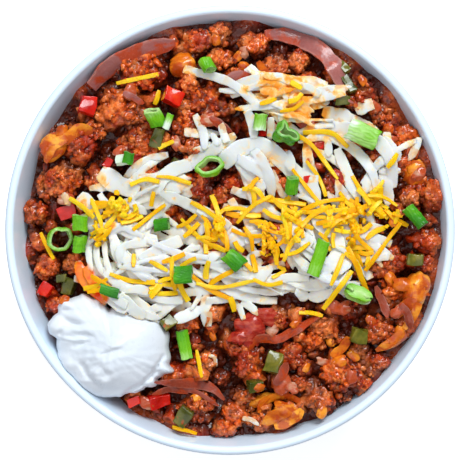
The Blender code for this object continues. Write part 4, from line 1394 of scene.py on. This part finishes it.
def wetMaterial(name, stops, size, sauce=0.0, streak=1.0):
    made = newMaterial(name)
    flow = put(made, wetFlow, Scale=size, Streak=streak)
    grain = put(made, fineGrain, Scale=900, Detail=3, Smoothest=0.18, Roughest=0.36)
    tint = ramp(made, flow["Flow"], stops)
    wetness = {"Threshold": 0.75 - 0.45 * sauce, "Dry_Coat": 0.1, "Wet_Coat": 0.8}
    splash = put(made, sauceSplash, Color=tint, Scale=170, **wetness)
    swollen = bumped(made, flow["Height"], 0.35, 0.0010)
    wire(made, Base_Color=splash["Color"], Coat_Weight=splash["Coat"], Roughness=grain["Roughness"])
    wire(made, Normal=bumped(made, grain["Height"], 0.25, 0.0005, swollen))
    wire(made, Subsurface_Radius=cookedDepth, **wetLook)
    return made


def onionMaterial():
    made = newMaterial("wetOnion")
    across = marked(made, "across")
    broad = spots(made, 70)
    grain = put(made, fineGrain, Scale=900, Detail=3, Smoothest=0.16, Roughest=0.32)
    wander = between(made, spots(made, 220), 0.3, 0.7, -0.25, 0.25)
    lines = waves(made, calculate(made, "ADD", across, wander), 3.5)
    stops = [(0.3, (0.20, 0.023, 0.008)), (0.5, (0.34, 0.070, 0.038)), (0.72, (0.45, 0.16, 0.13))]
    tint = ramp(made, calculate(made, "ADD", broad, calculate(made, "MULTIPLY", lines, 0.022)), stops)
    # painted highlight: both edges of each strip are lightened
    aside = calculate(made, "ABSOLUTE", calculate(made, "SUBTRACT", across, 0.5))
    edgeHighlight = blendColours(made, between(made, aside, 0.36, 0.5, 0, 0.6), tint, (0.66, 0.29, 0.20))
    level = addNode(made, "ShaderNodeSeparateXYZ", {0: place(made)}).outputs["Y"]
    pinker = blendColours(made, between(made, level, 0.03, 0.055, 0, 0.5), edgeHighlight, (0.42, 0.17, 0.165))
    steeped = blendColours(made, between(made, level, 0.01, -0.04, 0, 0.6), pinker, (0.30, 0.040, 0.012))
    splash = put(made, sauceSplash, Color=steeped, Scale=130, Threshold=0.46, Dry_Coat=0.05, Wet_Coat=0.35)
    wire(made, Base_Color=splash["Color"], Coat_Weight=splash["Coat"], Roughness=grain["Roughness"])
    wire(made, Normal=bumped(made, lines, 0.05, 0.0003, bumped(made, grain["Height"], 0.25, 0.0004)))
    wire(made, Coat_Roughness=0.12, Specular_IOR_Level=0.35)
    wire(made, Subsurface_Weight=0.3, Subsurface_Radius=cookedDepth)
    return made


onionLie = {"thickness": 0.0010, "slope": 0.35, "sink": 0.0004, "least": 0.0588, "flatness": 0.32}
pepperLie = {"thickness": 0.0014, "slope": 0.35, "sink": 0.0006, "least": 0.0585, "flatness": 0.24}
softSpacing = 0.0010


def laySoftStrips(name, rows, lie):
    strips = []
    for points, width, tilts, blunt in rows:
        route = smoothRoute([(x * mm, y * mm) for x, y in points], softSpacing)
        path = layRoute(route, width * mm, lie["thickness"], lie["slope"], lie["sink"], lie["least"])
        strips.append((path, width * mm, tilts, blunt))
    profile = cuppedProfile(name + "Profile", lie["flatness"])
    made = makeStrips(name, strips, profile)
    discard(profile)
    return made


def makeOnionStrips():
    rows = [*onionRoutes.values(), *onionExtras]
    onions = laySoftStrips("cookedOnion", rows, onionLie)
    roughen(onions, 0.003, 0.0007, "limp")
    holdInside(onions)
    smoothAll(onions, 60)
    finishPiece(onions, onionMaterial(), "cooked_onion", *onionRoutes)


# heading, length, width and height of each piece, in degrees and millimetres
dicedPieces = {
    "red_pepper_1": (80, 6.8, 5.8, 5), "red_pepper_2": (-25, 6.6, 5.4, 4.5),
    "red_pepper_3": (12, 7.8, 4.8, 4.5), "red_pepper_4": (60, 5, 4.6, 4),
    "green_pepper_1": (-12, 6.0, 5.0, 4.5), "green_pepper_2": (70, 7.4, 5.6, 4),
    "green_pepper_3": (5, 5.6, 4.0, 4), "green_pepper_4": (75, 6.2, 4.6, 4),
    "green_pepper_5": (60, 6.6, 5.2, 4),
}
# x, y, heading, length and width of each smaller piece
redExtras = (
    (-58.5, 6.5, 20, 6.5, 5), (31.5, 31, 0, 4.5, 5), (12.5, 34.5, 0, 4, 3), (-34.5, -61.5, 20, 4.5, 3),
    (-44, 24, 60, 4, 3), (28, 18, 0, 4, 3),
)
greenExtras = (
    (-20, 22, 60, 7, 4), (42, 52, -60, 7, 3), (40, 58, -45, 6, 2.6), (40, 46, 0, 5, 3.2),
    (65.5, -10.5, 0, 6, 4.2), (-61, -17.5, 0, 3.5, 3), (-22, -33, 40, 5, 4), (-26, 33, 70, 7, 4),
)

diceShape = {"ease": 0.09, "swellSize": 0.004, "swell": 0.0007, "sunk": 0.0022}
extraDice = {"height": 3.5, "sunk": 0.0020, "firstSeed": 30}


def makeDice(name, spot, heading, length, width, height, seed):
    s = diceShape
    rng = random.Random(seed)
    bpy.ops.mesh.primitive_cube_add(size=1, location=(0, 0, 0))
    piece = bpy.context.object
    piece.name = name
    piece.scale = (length * mm, width * mm, height * mm)
    settle(piece)
    ease = piece.modifiers.new("ease", "BEVEL")
    ease.width = s["ease"] * min(width, height) * mm
    ease.segments = 2
    fine = piece.modifiers.new("fine", "SUBSURF")
    fine.levels = fine.render_levels = 2
    applyAll(piece)
    shift = Vector((seed, 0, 0))
    for vertex in piece.data.vertices:
        vertex.co += noise.noise_vector(vertex.co / s["swellSize"] + shift) * s["swell"]
    turn = Euler((rng.uniform(-0.3, 0.3), rng.uniform(-0.3, 0.3), math.radians(heading)))
    piece.data.transform(Matrix.LocRotScale(spot, turn, None))
    return piece


def makePeppers(colour, extras, material, slotName):
    made = []
    nodes = [name for name in dicedPieces if name.startswith(colour)]
    for seed, name in enumerate(nodes):
        low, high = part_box(name)
        spot = (low + high) / 2
        piece = makeDice(name, Vector((spot.x, spot.y, dropFrom)), *dicedPieces[name], seed)
        restOnGround(piece, diceShape["sunk"])
        made.append(piece)
    s = extraDice
    for seed, (x, y, heading, length, width) in enumerate(extras, s["firstSeed"]):
        spot = Vector((x * mm, y * mm, dropFrom))
        piece = makeDice("extra", spot, heading, length, width, s["height"], seed)
        restOnGround(piece, s["sunk"])
        made.append(piece)
    peppers = joinUp(made, colour + "PepperDice")
    smoothAll(peppers, 60)
    finishPiece(peppers, material, slotName, *nodes)


# heading, length, width and height, in degrees and millimetres
yellowPieces = {
    "yellow_pepper_1": (40, 9.5, 8.5, 6), "yellow_pepper_2": (80, 9, 8, 6),
    "yellow_pepper_3": (70, 12, 8, 6), "yellow_pepper_4": (35, 11, 4.6, 4),
    "yellow_pepper_5": (20, 10, 4.6, 5), "yellow_pepper_6": (-15, 9, 5, 5),
    "yellow_pepper_7": (20, 9, 8, 6),
}
# x, y and size of each small bit
yellowBits = (
    (-5, 68, 3), (5, 58.5, 3.5), (39, -47, 4), (32.5, -65, 3.6), (57, -17.5, 4), (61, -19.5, 5),
    (23, -33.5, 2.5), (60.5, -36.5, 4), (44, -45, 4), (-35, 50, 3), (3, 62, 3), (-6, -38, 2.5),
    (20, 54, 3.5), (66, 22, 4), (-60, 35, 4), (36, -40, 3), (10, -56, 3.5), (-59, -25, 3), (58, 3, 3),
    (50, -32, 3), (-12, -60, 3), (27, -49, 3), (47, 53, 3),
)

petalShape = {
    "along": 10,
    "across": 8,
    "arc": 1.15,
    "wall": 0.09,
    "pointed": 0.80,
    "narrowest": 0.08,
    "drooping": 0.35,
    "crumple": 1.4,
}
softShape = {
    "layers": 3,
    "sunk": 0.0038,
    "bitSunk": 0.42,
    "firstSeed": 20,
    "curls": (0.85, 1.25),
    "smaller": (0.10, 0.22, 0.06),
    "stepped": (0.16, 0.10),
    "tipped": 0.35,
}


def makePetal(size, seed, curl, ragged):
    s = petalShape
    bpy.ops.mesh.primitive_grid_add(x_subdivisions=s["along"], y_subdivisions=s["across"], size=2)
    petal = bpy.context.object
    shift = Vector((seed * 3.7, seed * 1.3, 0))
    for vertex in petal.data.vertices:
        u, v = vertex.co.x, vertex.co.y
        narrow = math.sqrt(max(s["narrowest"], 1 - s["pointed"] * abs(u) ** 2.6))
        bend = s["arc"] * v * curl
        rough = noise.noise_vector(Vector((u * s["crumple"], v * s["crumple"], 0)) + shift) * ragged
        y = 0.5 * math.sin(bend) / math.sin(s["arc"]) * narrow
        vertex.co = (0.5 * u, y, (math.cos(bend) - s["drooping"] * u * u) * 0.9)
        vertex.co += rough
    wall = petal.modifiers.new("wall", "SOLIDIFY")
    wall.thickness = s["wall"]
    wall.offset = 0
    ease = petal.modifiers.new("ease", "SUBSURF")
    ease.levels = ease.render_levels = 1
    applyAll(petal)
    petal.data.transform(Matrix.Diagonal((*size, 1)))
    return petal


def makeSoftPiece(spot, heading, size, seed, layers, ragged):
    s = softShape
    rng = random.Random(seed)
    petals = []
    across, raised = s["stepped"]
    for layer in range(layers):
        share = Vector(1 - less * layer for less in s["smaller"])
        curl = rng.uniform(*s["curls"])
        petal = makePetal(Vector(size) * share * mm, seed + layer * 17, curl, ragged)
        aside = Vector((0, across * size[1] * layer, raised * size[2] * layer)) * mm
        petal.data.transform(Matrix.LocRotScale(aside, Euler((s["tipped"] * layer, 0, 0)), None))
        petals.append(petal)
    piece = joinUp(petals, "softPiece")
    turn = Euler((rng.uniform(-0.4, 0.4), rng.uniform(-0.2, 0.2), math.radians(heading)))
    piece.data.transform(Matrix.LocRotScale(spot, turn, None))
    return piece


def makeSoftPieces(name, nodes, bits, material, slotName, ragged=0.2):
    s = softShape
    made = []
    for seed, (node, sizes) in enumerate(nodes.items()):
        low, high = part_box(node)
        spot = (low + high) / 2
        spot = Vector((spot.x, spot.y, dropFrom))
        piece = makeSoftPiece(spot, sizes[0], sizes[1:], seed, s["layers"], ragged)
        restOnGround(piece, s["sunk"])
        made.append(piece)
    for seed, (x, y, size) in enumerate(bits, s["firstSeed"]):
        spot = Vector((x * mm, y * mm, dropFrom))
        sizes = (size * 1.3, size, size * 0.5)
        piece = makeSoftPiece(spot, seed * 50, sizes, seed, 1, ragged)
        restOnGround(piece, size * s["bitSunk"] * mm)
        made.append(piece)
    softs = joinUp(made, name)
    holdInside(softs)
    smoothAll(softs)
    finishPiece(softs, material, slotName, *nodes)


# routes of the curled pepper strips in millimetres, width, tilt at each end
yellowRoutes = (
    (((10.5, -65.5), (11.5, -62), (15.8, -59.8), (21.5, -59.8), (25, -61.2)), 3.2, (0.7, 0.5)),
    (((12, -70), (14.5, -67.5), (18.8, -65), (23.2, -63.2)), 4.4, (0.4, 0.1)),
    (((16, -70.5), (20, -68.7), (23.5, -66.5), (25.8, -64)), 4.2, (-0.2, 0.3)),
    (((59, -31), (62, -27), (66, -25)), 4.0, (0.5, 0.2)),
    (((62, -35), (64.5, -31), (67, -26)), 3.0, (-0.3, 0.3)),
    (((52, -43), (57, -40), (61, -36)), 3.0, (0.4, 0)),
    (((-60, 31), (-54, 36), (-49, 35)), 4.4, (0.3, 0.6)),
    (((-66, 24), (-63, 30), (-58, 33)), 4.0, (-0.5, 0.1)),
    (((36, -45), (40, -42), (42, -38)), 3.0, (0.2, 0.4)),
    (((10, 60), (13, 55), (15, 52)), 3.0, (0.3, 0)),
)


def makeYellowStrips(material):
    rows = [(*row, (0.5, 0.5)) for row in yellowRoutes]
    peppers = laySoftStrips("yellowStrips", rows, pepperLie)
    roughen(peppers, 0.004, 0.0007, "wrinkled")
    smoothAll(peppers, 60)
    finishPiece(peppers, material, "yellow_pepper")


# place and size of cooked onion chips and tomato flakes, in millimetres
onionChips = (
    (18.5, -54.5, 6), (36.5, -27, 5), (40, -28, 4.5), (-36, 49, 4.5), (-47, 18, 4), (-59, 11, 4.5),
    (-39, 28, 4), (43, -52, 4), (22, -56.5, 4), (-8, 39, 5), (15, -36, 4), (-19, 31, 4), (33, -47, 3.5),
    (59.5, -29, 4), (5, 63.5, 3.5), (51, 44, 4.5), (57, 32, 4), (67, 20, 4), (27, 44, 4.5),
    (-30, -62, 4),
)
tomatoFlakes = (
    (7, -35, 9), (12.5, -30.5, 7), (3, -38.5, 5), (-44, 6, 4), (38, 18, 5), (14, 38, 4.5), (31, 30, 6),
    (-34, 25, 4.5),
)


# the spring onion

# across, flattening, length, heading, lean from upright, then tone from pale 0 to dark 1, its change along
# the piece, the wall as a share of the width, how deep one side is pressed in and where, lobes, rings
springOnions = (
    (5.6, 0.80, 5.0, -60, 70, 0.45, 0.2, 0.15, 0.1, 90, 0, 0),
    (6.2, 0.80, 6.6, 115, 58, 0.42, -0.5, 0.16, 0.1, 90, 0.08, 0),
    (4.6, 0.85, 5.0, 5, 82, 0.05, 0.3, 0.15, 0.1, 90, 0, 0),
    (11.4, 0.62, 3.0, 96, 20, 0.42, 0.1, 0.11, 0.30, 35, 0, 0),
    (4.8, 0.80, 5.6, 8, 76, 0.80, 0.2, 0.14, 0.1, 90, 0, 0),
    (5.6, 0.85, 5.8, 92, 84, 0.46, 0.1, 0.14, 0.0, 0, 0, 1),
    (5.4, 0.90, 6.2, 82, 84, 0.50, 0.1, 0.14, 0.1, 90, 0, 1),
    (10.2, 0.90, 3.6, 0, 16, 0.32, 0.1, 0.115, 0.08, 90, 0, 0),
    (5.0, 0.80, 6.0, 80, 80, 0.20, 0.3, 0.15, 0.0, 0, 0, 0),
    (8.6, 0.80, 5.0, 40, 30, 0.62, 0.1, 0.13, 0.45, 20, 0.26, 0),
    (8.4, 0.50, 11.8, -25, 86, 0.22, 0.30, 0.14, 0.1, 90, 0, 0),
    (5.0, 0.85, 6.4, 85, 64, 0.58, 0.1, 0.14, 0.1, 90, 0, 0),
    (5.2, 0.80, 9.0, -50, 86, 0.74, 0.3, 0.14, 0.1, 90, 0, 1.6),
    (6.6, 0.50, 6.8, 5, 86, 0.78, 0.3, 0.14, 0.3, 60, 0.12, 0),
    (4.2, 0.45, 7.2, -18, 88, 0.85, 0.2, 0.14, 0.3, 90, 0, 0),
    (5.2, 0.60, 11.0, 100, 88, 0.44, 0.4, 0.14, 0.2, 90, 0, 1),
    (6.4, 0.50, 7.4, -40, 86, 0.68, 0.3, 0.14, 0.3, 60, 0.10, 0),
    (5.4, 0.60, 13.6, 72, 88, 0.40, 0.1, 0.14, 0.1, 90, 0, 1),
    (10.8, 0.55, 3.8, 68, 24, 0.22, 0.2, 0.27, 0.08, 90, 0, 0),
)
# x and y, then the same
looseCuts = (
    ((-36, 25.5), (4.2, 0.80, 4.2, 80, 80, 0.80, 0.2, 0.14, 0.1, 90, 0, 0)),
    ((-22, 38.5), (3.0, 0.60, 6.0, 70, 86, 0.10, 0.6, 0.16, 0.2, 90, 0, 0)),
)
# counts and shares, apart from ease in millimetres and sunk in metres
stalkShape = {
    "around": 48,
    "along": 14,
    "size": 0.93,
    "ease": 0.12,
    "sunk": 0.0006,
    "ribs": 7,
    "ribbed": 0.02,
    "oval": 0.05,
    "uneven": 0.12,
    "fineness": 2.4,
    "dentWidth": 0.45,
    "ringed": 0.022,
    "bow": 0.12,
    "slant": 0.2,
    "wavyCut": 0.04,
}


def springOnionMaterial():
    made = newMaterial("springOnion")
    green = marked(made, "green")
    broad = spots(made, 180)
    grain = put(made, fineGrain, Scale=1200, Detail=2, Smoothest=0.22, Roughest=0.38)
    wander = between(made, broad, 0.3, 0.7, -0.05, 0.05)
    ribs = waves(made, calculate(made, "ADD", marked(made, "around"), wander), 15)
    stops = [(0, (0.72, 0.84, 0.66)), (0.15, (0.41, 0.68, 0.20)), (0.38, (0.185, 0.51, 0.008))]
    stops += [(0.7, (0.048, 0.30, 0.006)), (1, (0.018, 0.16, 0.007))]
    shifted = calculate(made, "ADD", green, between(made, broad, 0.3, 0.7, -0.12, 0.12))
    outside = ramp(made, calculate(made, "ADD", shifted, calculate(made, "MULTIPLY", ribs, 0.03)), stops)
    inside = blendColours(made, between(made, green, 0, 1, 0.1, 0.7), (0.58, 0.76, 0.34), outside)
    tone = blendColours(made, marked(made, "skin"), inside, outside)
    wire(made, Base_Color=tone, Roughness=grain["Roughness"])
    wire(made, Normal=bumped(made, ribs, 0.22, 0.0003, bumped(made, grain["Height"], 0.15, 0.0003)))
    wire(made, Subsurface_Weight=0.1, Subsurface_Radius=(0.0008, 0.002, 0.0004))
    wire(made, Coat_Weight=0.08, Coat_Roughness=0.15, Specular_IOR_Level=0.25)
    return made


def makeStalk(seed, across, flattening, length, green, change, wallShare, pinch, pressed, lobes, rings):
    s = stalkShape
    rng = random.Random(seed)
    tube = {"vertices": s["around"], "end_fill_type": "NOTHING", "location": (0, 0, 0)}
    bpy.ops.mesh.primitive_cylinder_add(radius=0.5, depth=1, **tube)
    stalk = bpy.context.object
    enterEdit()
    bpy.ops.mesh.select_mode(type="EDGE")
    bpy.ops.mesh.select_all(action="DESELECT")
    leaveEdit()
    for edge in stalk.data.edges:
        a, b = (stalk.data.vertices[i].co for i in edge.vertices)
        edge.select = abs(a.z - b.z) > 0.5
    enterEdit()
    bpy.ops.mesh.subdivide(number_cuts=s["along"])
    bpy.ops.mesh.select_mode(type="VERT")
    leaveEdit()
    phase = rng.uniform(0, math.tau)
    cut = rng.uniform(-s["slant"], s["slant"])
    pressed = math.radians(pressed)
    shift = Vector((seed * 4.3, 0, 0))
    for vertex in stalk.data.vertices:
        x, y, z = vertex.co
        angle = math.atan2(y, x)
        aside = abs((angle - pressed + math.pi) % math.tau - math.pi)
        swell = 1 + s["ribbed"] * math.cos(s["ribs"] * angle) + s["oval"] * math.sin(2 * angle + phase)
        dent = pinch * math.exp(-((aside / s["dentWidth"]) ** 2))
        swell += s["uneven"] * noise.noise(Vector((x, y, z * 0.8)) * s["fineness"] + shift) - dent
        swell += lobes * math.cos(3 * angle + phase) + s["ringed"] * rings * math.cos(math.tau * 4 * z)
        vertex.co.x = x * across * flattening * swell
        vertex.co.y = y * across * swell + s["bow"] * across * z * z * math.cos(phase)
        wavy = s["wavyCut"] * across * math.sin(3 * angle + phase)
        vertex.co.z = z * length + cut * y * across + wavy
    wall = stalk.modifiers.new("wall", "SOLIDIFY")
    wall.thickness = wallShare * across
    wall.offset = -1
    applyAll(stalk)
    outer = s["around"] * (s["along"] + 2)
    markPoints(stalk, "skin", lambda vertex: 1.0 if vertex.index < outer else 0.0)
    markPoints(stalk, "green", lambda vertex: green + change * vertex.co.z / length)

    def howFarRound(vertex):
        return abs(math.atan2(vertex.co.y, vertex.co.x / flattening) / math.tau)

    markPoints(stalk, "around", howFarRound)
    ease = stalk.modifiers.new("ease", "BEVEL")
    ease.width = s["ease"]
    ease.segments = 2
    ease.limit_method = "ANGLE"
    applyAll(stalk)
    return stalk


def makeSpringOnion():
    pieces = []
    nodes = [f"spring_onion_{number:02d}" for number in range(1, len(springOnions) + 1)]
    middles = [sum(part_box(node), Vector()) / 2 for node in nodes]
    rows = list(zip(middles, springOnions))
    rows += [(Vector((x * mm, y * mm, 0)), row) for (x, y), row in looseCuts]
    for number, (spot, row) in enumerate(rows, 1):
        across, flattening, length, heading, lean, *finish = row
        stalk = makeStalk(number, across, flattening, length, *finish)
        turn = Euler((0, math.radians(lean), math.radians(heading)))
        scale = Vector((mm, mm, mm)) * stalkShape["size"]
        stalk.data.transform(Matrix.LocRotScale(Vector((spot.x, spot.y, dropFrom)), turn, scale))
        restOnGround(stalk, stalkShape["sunk"])
        pieces.append(stalk)
    onions = joinUp(pieces, "springOnionCuts")
    smoothAll(onions, 45)
    finishPiece(onions, springOnionMaterial(), "spring_onion", *nodes)


# table, light and camera

def makeStage():
    bpy.ops.mesh.primitive_plane_add(size=6, location=(0, 0, 0))
    table = bpy.context.object
    table.name = "table"
    made = newMaterial("paleTable")
    seen = addNode(made, "ShaderNodeLightPath").outputs["Is Camera Ray"]
    # what bounces off it is darker, which leaves the bowl its shading
    tone = blendColours(made, seen, (0.35, 0.35, 0.36), (0.95, 0.95, 0.96))
    wire(made, Base_Color=tone, Roughness=0.7, Emission_Color=(1, 1, 1, 1))
    wire(made, Emission_Strength=calculate(made, "MULTIPLY", seen, 0.45))
    table.data.materials.append(made)
    world = bpy.data.worlds.new("studio")
    bpy.context.scene.world = world
    world.use_nodes = True
    shone = {"Color": (0.885, 0.93, 1, 1), "Strength": 0.52}
    mirrored = {"Color": (0.92, 0.94, 1, 1), "Strength": 0.16}
    skies = [addNode(world, "ShaderNodeBackground", sky).outputs[0] for sky in (shone, mirrored)]
    gloss = addNode(world, "ShaderNodeLightPath").outputs["Is Glossy Ray"]
    both = addNode(world, "ShaderNodeMixShader", {0: gloss, 1: skies[0], 2: skies[1]})
    surface = world.node_tree.nodes["World Output"].inputs["Surface"]
    world.node_tree.links.new(both.outputs[0], surface)


def addSoftLight(name, spot, target, size, power, colour):
    data = bpy.data.lights.new(name, "AREA")
    data.size = size
    data.energy = power
    data.color = colour
    light = linked(bpy.data.objects.new(name, data))
    light.location = spot
    light.rotation_euler = (Vector(target) - Vector(spot)).to_track_quat("-Z", "Y").to_euler()


def makeLights():
    aim = (0, 0, 0.05)
    window = {"size": 0.7, "power": 20.5, "colour": (0.89, 0.965, 1)}
    fill = {"size": 1.6, "power": 8, "colour": (0.95, 0.96, 1)}
    addSoftLight("windowLight", (0.30, 1.05, 1.15), aim, **window)
    addSoftLight("topFill", (-0.3, -0.2, 1.6), aim, **fill)


def makeCamera():
    data = bpy.data.cameras.new("camera")
    away = 0.600
    covered = 0.1632
    data.sensor_width = 36
    data.lens = data.sensor_width * away / covered
    camera = linked(bpy.data.objects.new("camera", data))
    camera.location = (0, 0, bowlShape["height"] + away)
    bpy.context.scene.camera = camera
    view = bpy.context.scene.view_settings
    view.view_transform = "Standard"
    view.look = "None"


makeBowl()
print("bowl done")
core = makeCore()
print("chili core done")
clumps = makeClumps()
crumbs = makeCrumbs(core, clumps)
readGround(core, clumps, crumbs)
markHollows(core, clumps, crumbs)
print("mince done")
cream = makeSourCream()
readGround(cream)
print("sour cream done")
redStops = [(0.3, (0.42, 0.003, 0.0003)), (0.55, (0.68, 0.010, 0.0005)), (0.8, (0.86, 0.07, 0.004))]
greenStops = [(0.3, (0.032, 0.040, 0.003)), (0.5, (0.10, 0.10, 0.006)), (0.75, (0.30, 0.23, 0.025))]
makePeppers("red", redExtras, wetMaterial("redPepper", redStops, 120, 0.15), "red_pepper")
makePeppers("green", greenExtras, wetMaterial("greenPepper", greenStops, 120, 0.25), "green_pepper")
yellowStops = [(0.28, (0.42, 0.052, 0.002)), (0.48, (0.74, 0.165, 0.005)), (0.72, (0.97, 0.40, 0.035))]
chipStops = [(0.3, (0.34, 0.07, 0.02)), (0.5, (0.52, 0.19, 0.09)), (0.78, (0.74, 0.46, 0.34))]
flakeStops = [(0.3, (0.24, 0.007, 0.003)), (0.5, (0.40, 0.020, 0.009)), (0.75, (0.58, 0.10, 0.05))]
softPepper = wetMaterial("softPepper", yellowStops, 120, 0.6, 1.6)
makeSoftPieces("yellowPieces", yellowPieces, yellowBits, softPepper, "yellow_pepper", 0.13)
makeYellowStrips(softPepper)
clearOnion = wetMaterial("clearOnion", chipStops, 220, 0.75, 3)
makeSoftPieces("onionChips", {}, onionChips, clearOnion, "cooked_onion")
tomato = wetMaterial("tomato", flakeStops, 260, 0.3, 3)
makeSoftPieces("tomatoFlakes", {}, tomatoFlakes, tomato, "red_pepper", 0.34)
makeOnionStrips()
print("vegetables done")
makePaleCheese()
makeCheddar()
print("cheese done")
makeSpringOnion()
print("spring onion done")
makeStage()
makeLights()
makeCamera()
print("stage done")
